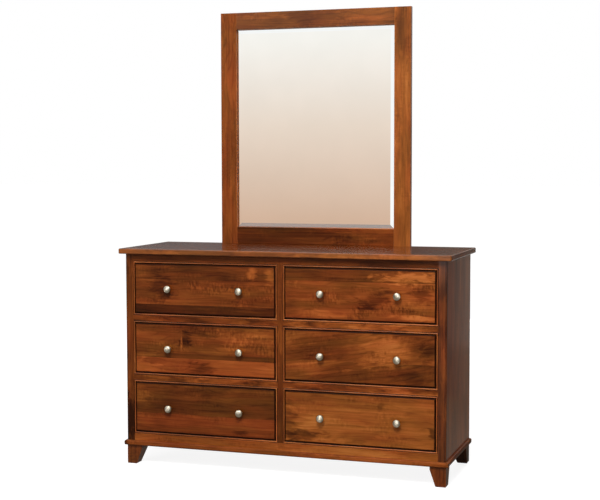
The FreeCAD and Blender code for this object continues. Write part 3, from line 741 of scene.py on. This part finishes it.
@dataclass(frozen=True)
class BrushedNickel:
    """Satin nickel, brushed in straight lines that turn from knob to knob, with a painted dark reflection
    towards the rim.
    """

    left_turn: float
    right_turn: float
    tint: Colour = (0.98, 0.91, 0.77)
    worn: Colour = (0.83, 0.76, 0.60)
    # Colour of the painted dark reflection at the rim, and where it starts, as a share of the radius.
    rim_shade: tuple[float, float, float, float] = (0.20, 0.15, 0.07, 1.0)
    rim_shade_from: float = 0.80
    brush: Stretch = (40.0, 1400.0, 1400.0)
    cloud: Stretch = (160.0, 160.0, 160.0)
    brush_tone: float = 0.5
    roughness: float = 0.35
    cloud_gloss: float = 0.08
    relief: float = 0.2
    relief_height: float = 0.0003

    def material(self, name: str, low: Vector, high: Vector) -> bpy.types.Material:
        """Makes the finish for a pair of knobs.

        Args:
            name: The material's name.
            low: The pair's low corner.
            high: The pair's high corner.

        Returns:
            The material.
        """
        material, sheet = fresh(name)
        place = sheet.point()
        axes = sheet.axes()
        middle = (low + high) / 2
        radius = (high.z - low.z) / 2
        off_middle = sheet.math("SUBTRACT", axes["X"], middle.x)
        off_axis = sheet.math("SUBTRACT", sheet.math("ABSOLUTE", off_middle), high.x - middle.x - radius)
        far = sheet.length(sheet.join(off_axis, 0.0, sheet.math("SUBTRACT", axes["Z"], middle.z)))
        side = sheet.math("GREATER_THAN", off_middle, 0.0)
        turn = sheet.math("MULTIPLY_ADD", side, math.radians(self.right_turn - self.left_turn),
                          math.radians(self.left_turn))
        turned = sheet.add("VectorRotate", {"Vector": place, "Angle": turn}, rotation_type="Y_AXIS")
        brush = sheet.noise(turned.outputs[0], self.brush, detail=1.0)
        cloud = sheet.noise(place, self.cloud)
        bright = sheet.two_tone(sheet.weigh(cloud, (brush, self.brush_tone)), self.worn, self.tint)
        # Painted dark reflection: the colour darkens towards each knob's rim.
        rim = sheet.spread(far, self.rim_shade_from * radius, radius)
        sheet.coat({"Base Color": sheet.blend(rim, bright, self.rim_shade), "Metallic": 1.0, "Anisotropic": 1.0,
                    "Roughness": sheet.weigh(self.roughness, (cloud, self.cloud_gloss)),
                    "Normal": sheet.bump(brush, self.relief, self.relief_height),
                    "Tangent": sheet.join(sheet.math("SINE", turn), 0.0, sheet.math("COSINE", turn))})
        return material


@dataclass(frozen=True)
class SilveredGlass:
    """Mirror glass: a bright sharp reflection with the faint clouding of old silver."""

    tint: Colour = (0.93, 0.945, 0.94)
    haze: Colour = (0.90, 0.92, 0.915)
    cloud: Stretch = (6.0, 6.0, 6.0)

    def material(self, name: str) -> bpy.types.Material:
        """Makes the finish.

        Args:
            name: The material's name.

        Returns:
            The material.
        """
        material, sheet = fresh(name)
        cloud = sheet.noise(sheet.point(), self.cloud)
        sheet.coat({"Base Color": sheet.two_tone(cloud, self.haze, self.tint), "Metallic": 1.0,
                    "Roughness": 0.0})
        return material


def dress(node: str, material: bpy.types.Material) -> None:
    """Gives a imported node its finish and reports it.

    Args:
        node: The node's name.
        material: The finish.
    """
    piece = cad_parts[node]
    piece.data.materials.clear()
    piece.data.materials.append(material)
    log.info("dressed %s with %s", node, material.name)


def stain(node: str, finish: StainedMaple) -> None:
    """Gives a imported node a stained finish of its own, fitted to its box."""
    dress(node, finish.material(f"stain_{node}", *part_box(node)))


@dataclass
class Case:
    """The case: top, sides, face frame, beads, base moulding, feet and the boards inside."""

    half_width: float = 0.686
    face: float = -0.2325
    groove: float = 0.0008
    column: float = 0.332
    opening_half: float = 0.313
    sill_highlight_heights: tuple[float, ...] = (0.0055, 0.349, 0.692)
    polish: float = 0.8
    foot_shift: float = 0.2
    foot_seed: float = 0.11

    def dress(self) -> None:
        """Finishes every node of the case."""
        self.dress_panels()
        self.dress_stiles()
        self.dress_rails()
        self.dress_trim()
        self.dress_inside()

    def dress_panels(self) -> None:
        """Finishes the top and the sides, each glued up from several boards."""
        # The front board, which carries the top's front edge, is less red than the rest: painted grey
        # reflection of that lacquered edge.
        boards = (Board(0.12, 0.53, 0.1, 0.15), Board(0.24, 0.31, 0.35), Board(0.2, 0.36, 0.6),
                  Board(0.24, 0.29, 0.8), Board(0.2, 0.35, 0.95))
        patches = (Patch(0.78, 0.25, 0.26, 0.6, 0.22), Patch(0.15, 0.25, 0.06, 0.6, 0.18),
                   Patch(0.42, 0.25, 0.09, 0.6, -0.14))
        stain("top", StainedMaple(Lay.FLAT, boards, patches, seed=0.13, coat=self.polish))
        boards = (Board(0.26, 0.63, 0.2, 0.9), Board(0.24, 0.57, 0.5, 0.8), Board(0.27, 0.67, 0.7, 0.9),
                  Board(0.23, 0.61, 0.9, 0.8))
        for side, seed in (("left", 0.21), ("right", 0.68)):
            finish = StainedMaple(Lay.SIDE_UPRIGHT, boards, seed=seed, blotch=0.9, coat=self.polish)
            stain(f"side_{side}", finish)

    def dress_stiles(self) -> None:
        """Finishes the three stiles of the face frame."""
        patches = (Patch(0.5, 0.13, 1.2, 0.15, -0.50), Patch(0.6, 0.95, 1.0, 0.06, -0.12))
        stain("stile_left", StainedMaple(Lay.FRONT_UPRIGHT, single(0.37, 0.1), patches, seed=0.31))
        patches = (Patch(0.2, 0.30, 0.5, 0.20, -0.04), Patch(0.6, 0.49, 0.5, 0.10, 0.22),
                   Patch(0.4, 0.66, 1.0, 0.05, -0.16), Patch(0.5, 0.85, 1.0, 0.05, -0.14),
                   Patch(0.85, 0.45, 0.12, 1.2, -0.18))
        stain("stile_right", StainedMaple(Lay.FRONT_UPRIGHT, single(0.41, 0.6), patches, seed=0.47,
                                          coat=self.polish))
        patches = (Patch(0.5, 0.82, 1.0, 0.16, -0.12), Patch(0.5, 0.60, 1.0, 0.10, 0.22),
                   Patch(0.5, 0.15, 0.8, 0.15, -0.10))
        stain("stile_centre", StainedMaple(Lay.FRONT_UPRIGHT, single(0.30, 0.3), patches, seed=0.59))

    def dress_rails(self) -> None:
        """Finishes the rails of the face frame."""
        stain("rail_top", StainedMaple(Lay.FRONT_LEVEL, single(0.35, 0.4), seed=0.77))
        patches = (Patch(0.68, 0.5, 0.25, 1.5, 0.10),)
        stain("rail_bottom", StainedMaple(Lay.FRONT_LEVEL, single(0.65, 0.7, 0.35), patches, seed=0.83))
        boards = (Board(0.5, 0.41, 0.2, 0.6), Board(0.5, 0.38, 0.7, 0.6))
        patches = (Patch(0.78, 0.5, 0.34, 2.0, 0.28), Patch(0.75, 0.96, 0.16, 0.2, 0.14),
                   Patch(0.71, 0.04, 0.10, 0.2, -0.32), Patch(0.31, 0.04, 0.10, 0.2, 0.34),
                   Patch(0.15, 0.04, 0.05, 0.2, -0.14))
        stain("mid_rails", StainedMaple(Lay.FRONT_LEVEL, boards, patches, seed=0.91, blotch=1.2, close=2.4,
                                        mottle=0.45))

    def dress_trim(self) -> None:
        """Finishes the beads, the base moulding and the feet."""
        # Painted highlights: lighter strips on the sills of the right-hand openings, where light from above
        # catches the beads.
        patches = tuple(Patch(0.78, up, 0.45, 0.008, 0.32) for up in self.sill_highlight_heights)
        # Behind the frame's face the beads darken: painted shade of their grooves and gaps.
        turned = Turned(Lay.FRONT_UPRIGHT, self.column, self.opening_half)
        stain("opening_beads", StainedMaple(Lay.FRONT_LEVEL, single(0.71, 0.5), patches, seed=0.05,
                                            blotch=1.2, coat=self.polish, turned=turned,
                                            shade_behind=self.face - self.groove))
        patches = (Patch(0.0, 0.5, 0.010, 3.0, -0.3), Patch(1.0, 0.5, 0.010, 3.0, -0.12),
                   Patch(0.86, 0.6, 0.22, 3.0, 0.24))
        turned = Turned(Lay.SIDE_LEVEL, 0.0, self.half_width)
        stain("base_moulding", StainedMaple(Lay.FRONT_LEVEL, single(0.46, 0.9), patches, seed=0.37,
                                            turned=turned))
        feet = (("front_left", 0.33, 0.45), ("front_right", 0.46, 0.45), ("rear_left", 0.22, 0.25),
                ("rear_right", 0.22, 0.25))
        for index, (corner, tone, coat) in enumerate(feet):
            board = single(tone, self.foot_shift * index)
            finish = StainedMaple(Lay.FRONT_UPRIGHT, board, seed=self.foot_seed * index, coat=coat)
            stain(f"foot_{corner}", finish)

    def dress_inside(self) -> None:
        """Finishes the boards inside, the bottom and the back."""
        inner = BareWood(Lay.SIDE_UPRIGHT, seed=0.4).material("clear_maple_boards")
        for node in ("centre_partitions", "slide_cleats", "corner_blocks", "top_stretchers"):
            dress(node, inner)
        faces = plywood("plywood_faces", 0.9)
        for node in ("bottom_panel", "back_panel"):
            dress(node, faces)


@dataclass(frozen=True)
class Front:
    """A drawer front's own figure: its boards from the bottom up, its patches, and the slant of its grain."""

    boards: tuple[Board, ...]
    patches: tuple[Patch, ...]
    slant: float = 0.0


FRONTS = {
    "top_left": Front(
        (Board(0.184, 0.20, 0.10, 0.40), Board(0.504, 0.46, 0.45, 0.55, 0.6), Board(0.312, 0.34, 0.80, 0.35)),
        (Patch(0.055, 0.82, 0.065, 0.18, 0.10), Patch(0.19, 0.50, 0.10, 0.23, -0.28),
         Patch(0.68, 0.66, 0.12, 0.10, -0.12), Patch(0.84, 0.86, 0.03, 0.15, 0.36),
         Patch(0.965, 0.82, 0.04, 0.18, 0.32), Patch(0.90, 0.30, 0.14, 0.25, -0.10),
         Patch(0.14, 0.88, 0.10, 0.14, -0.14))),
    "top_right": Front(
        (Board(0.747, 0.61, 0.25, 0.62, 0.8), Board(0.253, 0.39, 0.60, 0.38)),
        (Patch(0.85, 0.86, 0.21, 0.14, 0.58), Patch(0.57, 0.86, 0.014, 0.08, 0.30, -40.0),
         Patch(0.60, 0.41, 0.13, 0.17, -0.40, 20.0), Patch(0.91, 0.56, 0.08, 0.17, -0.32),
         Patch(0.22, 0.12, 0.20, 0.08, 0.18, -4.0), Patch(0.87, 0.095, 0.14, 0.06, 0.40, -4.0),
         Patch(0.76, 0.22, 0.09, 0.05, -0.12), Patch(0.03, 0.20, 0.07, 0.24, -0.20))),
    "middle_left": Front(
        (Board(0.317, 0.63, 0.30, 0.80), Board(0.10, 0.34, 0.70, 0.15), Board(0.583, 0.47, 0.15, 0.45, 0.5)),
        (Patch(0.365, 0.70, 0.05, 0.18, -0.34), Patch(0.335, 0.66, 0.008, 0.19, 0.42),
         Patch(0.47, 0.12, 0.11, 0.13, -0.32), Patch(0.73, 0.64, 0.09, 0.13, 0.12),
         Patch(0.46, 0.88, 0.16, 0.14, -0.18), Patch(0.09, 0.38, 0.12, 0.07, 0.20),
         Patch(0.88, 0.88, 0.16, 0.13, 0.20), Patch(0.06, 0.11, 0.14, 0.15, 0.26))),
    "middle_right": Front(
        (Board(0.416, 0.46, 0.55, 0.25), Board(0.584, 0.52, 0.85, 0.45, 0.4)),
        (Patch(0.10, 0.85, 0.14, 0.12, 0.06, 10.0), Patch(0.28, 0.70, 0.23, 0.28, -0.17, 5.0),
         Patch(0.65, 0.66, 0.19, 0.30, 0.30), Patch(0.95, 0.72, 0.11, 0.28, -0.34),
         Patch(0.82, 0.13, 0.12, 0.15, -0.24), Patch(0.31, 0.20, 0.22, 0.030, 0.22, 7.0),
         Patch(0.19, 0.36, 0.20, 0.030, 0.20, 7.0)), 0.14),
    "bottom_left": Front(
        (Board(0.39, 0.48, 0.65, 0.80), Board(0.61, 0.35, 0.35, 0.20)),
        (Patch(0.45, 0.88, 0.26, 0.12, -0.14), Patch(0.03, 0.72, 0.08, 0.24, 0.20),
         Patch(0.76, 0.11, 0.06, 0.035, -0.25), Patch(0.05, 0.20, 0.08, 0.14, 0.10))),
    "bottom_right": Front(
        (Board(0.728, 0.71, 0.20, 0.16, 0.3), Board(0.272, 0.61, 0.50, 0.22)),
        (Patch(0.13, 0.14, 0.14, 0.11, -0.42), Patch(0.02, 0.38, 0.07, 0.34, -0.30),
         Patch(0.64, 0.80, 0.022, 0.13, -0.17, -25.0), Patch(0.25, 0.45, 0.12, 0.10, 0.12),
         Patch(0.985, 0.34, 0.03, 0.11, -0.35), Patch(0.78, 0.20, 0.14, 0.06, -0.12))),
}
BRUSHING = {
    "top_left": (45.0, 10.0), "top_right": (30.0, -40.0), "middle_left": (60.0, -15.0),
    "middle_right": (50.0, -20.0), "bottom_left": (35.0, 75.0), "bottom_right": (15.0, 0.0),
}


@dataclass
class DrawerBank:
    """The six drawers, with a figure of its own on each front."""

    fronts: dict[str, Front] = field(default_factory=FRONTS.copy)
    brushing: dict[str, tuple[float, float]] = field(default_factory=BRUSHING.copy)
    # Width of the painted shade round each front, from the gap that it meets.
    rim: float = 0.0055
    first_seed: float = 0.17
    row_seed: float = 0.29
    column_seed: float = 0.43
    worn_zinc: Colour = (0.50, 0.51, 0.53)
    zinc_roughness: float = 0.33
    zinc_scratch: Stretch = (60.0, 12.0, 700.0)

    def dress(self) -> None:
        """Finishes the fronts, boxes, knobs and slides."""
        zinc = Metal(ZINC, self.worn_zinc, self.zinc_roughness, self.zinc_scratch).material("zinc_steel")
        for row_index, row in enumerate(ROWS):
            for column_index, column in enumerate(COLUMNS):
                seed = self.first_seed + self.row_seed * row_index + self.column_seed * column_index
                self.dress_drawer(f"{row}_{column}", seed, zinc)
        dress("slide_case_members", zinc)
        dress("wood_screws", zinc)

    def dress_drawer(self, place: str, seed: float, zinc: bpy.types.Material) -> None:
        """Finishes one drawer.

        Args:
            place: Its row and column, as in its nodes' names.
            seed: Where its wood is cut from.
            zinc: The finish of its slides.
        """
        front = self.fronts[place]
        stain(f"drawer_front_{place}", StainedMaple(Lay.FRONT_LEVEL, front.boards, front.patches, seed,
                                                    front.slant, rim=self.rim))
        box = f"drawer_box_{place}"
        wood = DovetailedBox(BareWood(Lay.SIDE_LEVEL, seed=seed))
        dress(box, wood.material(f"clear_maple_{place}", *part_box(box)))
        knobs = f"drawer_knobs_{place}"
        nickel = BrushedNickel(*self.brushing[place])
        dress(knobs, nickel.material(f"satin_nickel_{place}", *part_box(knobs)))
        dress(f"slide_drawer_members_{place}", zinc)
        dress(f"slide_middle_members_{place}", zinc)


@dataclass
class StandingMirror:
    """The mirror: frame, glass, backing and the boards that hold it."""

    dull_coat: float = 0.08
    dull_sheen: float = 0.05
    right_coat: float = 0.2
    top_coat: float = 0.36

    def dress(self) -> None:
        """Finishes every node of the mirror."""
        # The inner edge of each frame member, round the glass, is lighter: painted light from the glass.
        patches = (Patch(0.5, 0.90, 0.8, 0.10, 0.14),)
        stain("mirror_stile_left", StainedMaple(Lay.FRONT_UPRIGHT, single(0.48, 0.3, 0.5, 0.08), patches,
                                                seed=0.15, coat=self.dull_coat, sheen=self.dull_sheen,
                                                lit_edge=Edge.RIGHT))
        patches = (Patch(0.6, 0.90, 0.7, 0.13, -0.13), Patch(0.6, 0.47, 0.6, 0.12, -0.10),
                   Patch(0.6, 0.2, 0.8, 0.10, 0.10))
        stain("mirror_stile_right", StainedMaple(Lay.FRONT_UPRIGHT, single(0.69, 0.8, 0.15), patches,
                                                 seed=0.55, coat=self.right_coat, lit_edge=Edge.LEFT))
        patches = (Patch(0.38, 0.5, 0.16, 1.2, -0.12), Patch(0.86, 0.85, 0.24, 0.6, 0.14))
        stain("mirror_rail_top", StainedMaple(Lay.FRONT_LEVEL, single(0.43, 0.6, 0.2), patches,
                                              seed=0.75, coat=self.top_coat, lit_edge=Edge.LOWER))
        patches = (Patch(0.90, 0.5, 0.24, 1.2, 0.26),)
        stain("mirror_rail_bottom", StainedMaple(Lay.FRONT_LEVEL, single(0.26, 0.2), patches,
                                                 seed=0.95, coat=self.dull_coat, sheen=self.dull_sheen,
                                                 lit_edge=Edge.UPPER))
        stain("mirror_supports", StainedMaple(Lay.FRONT_UPRIGHT, single(0.45, 0.4), seed=0.35))
        dress("mirror_glass", SilveredGlass().material("silvered_glass"))
        dress("mirror_backing", plywood("plywood_backing", 0.6))


def loft(mesh: bmesh.types.BMesh, rings: list[list[Vector]]) -> None:
    """Skins a row of like rings and closes both ends.

    Args:
        mesh: The mesh that it goes into.
        rings: The rings' points, in order.
    """
    made = [[mesh.verts.new(point) for point in ring] for ring in rings]
    for near, far in zip(made, made[1:]):
        for index, corner in enumerate(near):
            mesh.faces.new((near[index - 1], corner, far[index], far[index - 1]))
    mesh.faces.new(made[0])
    mesh.faces.new(made[-1])


@dataclass
class PanelFixings:
    """The domed pins round the back panel, and the clips that keep the mirror's backing in its rabbet."""

    pin_radius: float = 0.0032
    pin_rise: float = 0.0015
    pin_dome: tuple[tuple[float, float], ...] = ((1.0, 0.3), (0.86, 0.7), (0.52, 0.94), (0.16, 1.0))
    pin_step: float = 0.13
    pin_inset: float = 0.0045
    partition: float = 0.0095
    top_inset: float = 0.014
    bottom_rise: float = 0.036
    clip_half: float = 0.014
    clip_radius: float = 0.0055
    clip_thickness: float = 0.0012
    clip_edge: tuple[tuple[float, float], ...] = ((1.0, 0.75), (0.93, 1.0))
    clip_spots: tuple[float, ...] = (-0.25, 0.0, 0.25)
    clip_heights: tuple[float, ...] = (1.72, 1.80)
    sink: float = 0.0002
    corners: int = 16
    worn_steel: Colour = (0.46, 0.46, 0.47)
    steel_roughness: float = 0.36
    steel_scratch: Stretch = (300.0, 300.0, 300.0)

    def build(self) -> None:
        """Makes the pins and the clips, and fixes them to the case."""
        steel = Metal(ZINC, self.worn_steel, self.steel_roughness, self.steel_scratch).material("pin_steel")
        for name, shape in (("back_panel_pins", self.shape_pins), ("mirror_backing_clips", self.shape_clips)):
            work = bmesh.new()
            shape(work)
            bmesh.ops.recalc_face_normals(work, faces=work.faces)
            mesh = bpy.data.meshes.new(name)
            work.to_mesh(mesh)
            work.free()
            piece = put(mesh, steel)
            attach(piece, "case")
            log.info("built %s", name)

    def ring(self, middle: Vector, half: Vector, radius: float, rise: float) -> list[Vector]:
        """A ring with round ends, upright and facing +Y.

        Args:
            middle: Its middle, on the face that it stands on.
            half: From the middle to the middle of one round end, or nothing for a circle.
            radius: The radius of its ends.
            rise: How far it stands off that face.

        Returns:
            Its points.
        """
        start = math.atan2(half.z, half.x) - math.pi / 2
        points = []
        for index in range(self.corners):
            angle = start + 2 * math.pi * (index + 0.5) / self.corners
            end = half if index < self.corners // 2 else -half
            round_part = Vector((radius * math.cos(angle), rise, radius * math.sin(angle)))
            points.append(middle + end + round_part)
        return points

    def add_pin(self, work: bmesh.types.BMesh, spot: Vector) -> None:
        """Adds one domed head, let a little into its face.

        Args:
            work: The mesh that it goes into.
            spot: Its middle, on that face.
        """
        still = Vector()
        rings = [self.ring(spot, still, self.pin_radius, -self.sink)]
        for share, rise in self.pin_dome:
            rings.append(self.ring(spot, still, share * self.pin_radius, rise * self.pin_rise))
        loft(work, rings)

    def shape_pins(self, work: bmesh.types.BMesh) -> None:
        """Sets the pins along the panel's edges and its partitions, clear of the mirror's supports.

        Args:
            work: The mesh that they go into.
        """
        low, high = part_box("back_panel")
        support_low, support_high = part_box("mirror_supports")
        stile_low, stile_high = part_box("mirror_stile_right")
        inner = support_high.x - (stile_high.x - stile_low.x)
        column = high.x - self.pin_inset
        heights = self.even(low.z + self.bottom_rise, high.z - self.top_inset)
        for x in (-column, -self.partition, self.partition, column):
            for z in heights:
                self.add_pin(work, Vector((x, high.y, z)))
        for x in self.even(self.partition, column)[1:-1]:
            for z in (heights[0], heights[-1]):
                covered = z > support_low.z and inner < x < support_high.x + 2 * self.pin_radius
                for sign in () if covered else (-1, 1):
                    self.add_pin(work, Vector((sign * x, high.y, z)))

    def even(self, first: float, last: float) -> list[float]:
        """Even places from the first to the last, about a step apart."""
        count = round((last - first) / self.pin_step)
        return [first + (last - first) * index / count for index in range(count + 1)]

    def shape_clips(self, work: bmesh.types.BMesh) -> None:
        """Lays the clips across the joint of frame and backing, where no support covers it.

        Args:
            work: The mesh that they go into.
        """
        low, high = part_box("mirror_backing")
        places = []
        for sign in (-1, 1):
            places += [(Vector((sign * high.x, high.y, z)), ACROSS * sign) for z in self.clip_heights]
        for level, outward in ((high.z, UPWARD), (low.z, -UPWARD)):
            places += [(Vector((x, high.y, level)), outward) for x in self.clip_spots]
        thick = self.clip_thickness
        for middle, outward in places:
            half = outward * (self.clip_half - self.clip_radius)
            rings = [self.ring(middle, half, self.clip_radius, -self.sink)]
            for share, rise in self.clip_edge:
                rings.append(self.ring(middle, half, share * self.clip_radius, rise * thick))
            loft(work, rings)
            self.add_pin(work, middle + half + DEEP * thick)


def lay_flat(name: str, ends: list[Vector], material: bpy.types.Material) -> bpy.types.Object:
    """Lays a flat sheet of the stage.

    Args:
        name: The sheet's name.
        ends: Its four ends, in order.
        material: Its finish.

    Returns:
        The sheet.
    """
    mesh = bpy.data.meshes.new(name)
    mesh.from_pydata(ends, [], [(0, 1, 2, 3)])
    piece = put(mesh, material)
    return piece


def four_ends(corner: Vector, first_edge: Vector, second_edge: Vector) -> list[Vector]:
    """The four ends of a sheet that spans two edges from a corner."""
    return [corner, corner + first_edge, corner + first_edge + second_edge, corner + second_edge]


@dataclass
class Card:
    """A flat sheet of the studio, off camera, that the satin surfaces mirror.

    It spans two edges from a corner, and its shades lie along the axis that it fades by. The mirror's sharp
    rays pass through it, unless it is there for the mirror.
    """

    name: str
    corner: tuple[float, float, float]
    first_edge: Vector
    second_edge: Vector
    fades_by: Axis
    shades: tuple[tuple[float, Colour], ...]
    for_mirror: bool = False

    def build(self) -> None:
        """Makes the sheet, seen only in reflections."""
        material, sheet = fresh(self.name)
        first, last = self.shades[0][0], self.shades[-1][0]
        share = sheet.share(sheet.axes()[self.fades_by.name], first, last)
        stops = [((spot - first) / (last - first), shade) for spot, shade in self.shades]
        surface = sheet.add("Emission", {0: sheet.ramp(share, stops)}).outputs[0]
        if not self.for_mirror:
            clear = sheet.add("BsdfTransparent").outputs[0]
            sharp = sheet.add("LightPath").outputs["Is Singular Ray"]
            surface = sheet.add("MixShader", {0: sharp, 1: surface, 2: clear}).outputs[0]
        sheet.finish(surface)
        ends = four_ends(Vector(self.corner), self.first_edge, self.second_edge)
        piece = lay_flat(self.name, ends, material)
        for ray in ("camera", "diffuse", "transmission", "volume_scatter", "shadow"):
            setattr(piece, f"visible_{ray}", False)


@dataclass
class Lamp:
    """A soft studio lamp: a square of light aimed at a point."""

    name: str
    place: Vector
    aim: Vector
    side: float
    power: float

    def build(self) -> None:
        """Hangs the lamp."""
        light = bpy.data.lights.new(self.name, "AREA")
        light.size = self.side
        light.energy = self.power
        piece = bpy.data.objects.new(self.name, light)
        piece.location = self.place
        piece.visible_glossy = False
        piece.rotation_euler = (self.aim - self.place).to_track_quat("-Z", "Y").to_euler()
        bpy.context.scene.collection.objects.link(piece)


@dataclass
class Studio:
    """Pale floor, white surroundings, soft lamps and the cards that the polish mirrors."""

    floor_half: float = 60.0
    floor_shade: float = 0.30
    near_reach: float = 1.5
    near_glow: float = 0.87
    far_reach: float = 6.0
    far_glow: float = 0.94
    ambient: float = 0.28
    aim: Vector = field(default_factory=lambda: Vector((0.0, 0.0, 0.9)))

    def build(self) -> None:
        """Sets up everything round the object."""
        self.build_floor()
        self.build_world()
        Lamp("key_lamp", Vector((0.65, -3.3, 3.9)), self.aim, side=1.5, power=225.0).build()
        Lamp("fill_lamp", Vector((-3.2, -4.2, 2.2)), self.aim, side=2.4, power=70.0).build()
        Lamp("rear_lamp", Vector((0.0, 5.0, 1.5)), self.aim, side=3.0, power=150.0).build()
        self.build_cards()
        log.info("studio built")

    def build_cards(self) -> None:
        """Stands up the cards: a bright one over the front, dimmer ones behind, below and beside it."""
        Card("key_face", (-1.3, -3.3, 2.8), ACROSS * 2.7, UPWARD * 1.8, Axis.X,
             ((-1.3, (5.6, 5.2, 4.5)), (-0.2, (5.9, 5.6, 5.2)), (1.4, (7.1, 6.9, 6.4)))).build()
        Card("front_screen", (-7.4, -9.0, 0.0), ACROSS * 6.0, UPWARD * 6.0, Axis.Z,
             ((0.0, (0.62, 0.41, 0.29)), (0.6, (0.71, 0.49, 0.36)), (1.7, (0.87, 0.73, 0.62)),
              (2.7, (1.0, 0.965, 0.915)), (3.4, (1.0, 1.0, 1.0))), for_mirror=True).build()
        Card("rear_card", (-6.0, 1.7, 0.0), ACROSS * 12.0, UPWARD * 1.5, Axis.X,
             ((-1.0, (0.138, 0.137, 0.138)), (-0.4, (0.115, 0.113, 0.113)), (0.1, (0.066, 0.060, 0.055)),
              (0.8, (0.175, 0.145, 0.112)), (0.97, (0.18, 0.15, 0.115)), (1.09, (0.10, 0.055, 0.045)),
              (1.5, (0.10, 0.06, 0.05)))).build()
        Card("rear_strip", (0.68, 1.69, 0.28), ACROSS * 0.25, UPWARD * 1.2, Axis.X,
             ((0.68, (0.70, 0.68, 0.65)), (0.93, (0.70, 0.68, 0.65)))).build()
        Card("floor_card", (-7.0, -9.0, 0.004), ACROSS * 14.0, DEEP * 11.0, Axis.X,
             ((-3.0, (0.24, 0.235, 0.22)), (0.5, (0.22, 0.20, 0.17)), (1.2, (0.115, 0.075, 0.045)))).build()
        dim = ((0.0, (0.10, 0.085, 0.065)), (2.6, (0.14, 0.120, 0.095)), (6.0, (0.20, 0.18, 0.15)))
        for name, x in (("left_flag", -7.5), ("right_flag", 6.5)):
            Card(name, (x, -9.0, 0.0), DEEP * 11.0, UPWARD * 6.0, Axis.Z, dim).build()

    @staticmethod
    def seen_directly(sheet: Sheet) -> Socket:
        """Tells the rays that show a surface from the light that falls on the object.

        Args:
            sheet: The tree.

        Returns:
            1 for camera, glossy and transmission rays, and 0 for the rest.
        """
        path = sheet.add("LightPath").outputs
        shown = sheet.math("ADD", path["Is Camera Ray"], path["Is Glossy Ray"])
        return sheet.math("ADD", shown, path["Is Transmission Ray"], clamp=True)

    def build_floor(self) -> None:
        """Lays the pale floor, which keeps the object's shadow."""
        material, sheet = fresh("pale_floor")
        far = sheet.length(sheet.point())
        level = sheet.share(far, self.near_reach, self.far_reach, self.near_glow, self.far_glow)
        glow = sheet.math("MULTIPLY", self.seen_directly(sheet), level)
        light = sheet.add("Emission", {"Strength": glow}).outputs[0]
        shade = (self.floor_shade, self.floor_shade, self.floor_shade, 1.0)
        base = sheet.add("BsdfDiffuse", {"Color": shade}).outputs[0]
        sheet.finish(sheet.add("AddShader", {0: base, 1: light}).outputs[0])
        corner = Vector((-self.floor_half, -self.floor_half, 0.0))
        side = 2 * self.floor_half
        lay_flat("floor", four_ends(corner, ACROSS * side, DEEP * side), material)

    def build_world(self) -> None:
        """Makes the surroundings white to the eye and dimmer as a light."""
        world = bpy.data.worlds.new("white_studio")
        bpy.context.scene.world = world
        sheet = Sheet(world)
        strength = sheet.math("MULTIPLY_ADD", self.seen_directly(sheet), 1.0 - self.ambient, self.ambient)
        white = (1.0, 1.0, 1.0, 1.0)
        background = sheet.add("Background", {"Color": white, "Strength": strength})
        sheet.finish(background.outputs[0], "OutputWorld")


@dataclass
class PhotoCamera:
    """The camera as fitted to the photograph: place in metres, angles in degrees, focal length in pixels."""

    place: Vector = field(default_factory=lambda: Vector((1.7185, -5.1563, 1.2758)))
    yaw: float = 18.347
    pitch: float = 3.903
    roll: float = -0.092
    focal: float = 1295.77
    picture_width: float = 600.0
    sensor: float = 36.0

    def build(self) -> None:
        """Sets the scene's camera."""
        yaw, pitch, roll = (math.radians(angle) for angle in (self.yaw, self.pitch, self.roll))
        ahead = Vector((-math.sin(yaw) * math.cos(pitch), math.cos(yaw) * math.cos(pitch), -math.sin(pitch)))
        level = Vector((math.cos(yaw), math.sin(yaw), 0.0))
        right = level * math.cos(roll) + level.cross(ahead) * math.sin(roll)
        up = right.cross(ahead)
        data = bpy.data.cameras.new("photo_camera")
        data.sensor_width = self.sensor
        data.lens = self.focal * self.sensor / self.picture_width
        camera = bpy.data.objects.new("photo_camera", data)
        turn = Matrix((right, up, -ahead)).transposed().to_4x4()
        camera.matrix_world = Matrix.Translation(self.place) @ turn
        bpy.context.scene.collection.objects.link(camera)
        bpy.context.scene.camera = camera
        log.info("camera set")


def main() -> None:
    """Builds the scene in order."""
    logging.basicConfig(level=logging.INFO, format="%(name)s: %(message)s")
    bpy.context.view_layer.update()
    PhotoCamera().build()
    Studio().build()
    for part in (Case(), DrawerBank(), StandingMirror()):
        part.dress()
    PanelFixings().build()
    bpy.context.scene.view_settings.view_transform = "Standard"


if __name__ == "__main__":
    main()
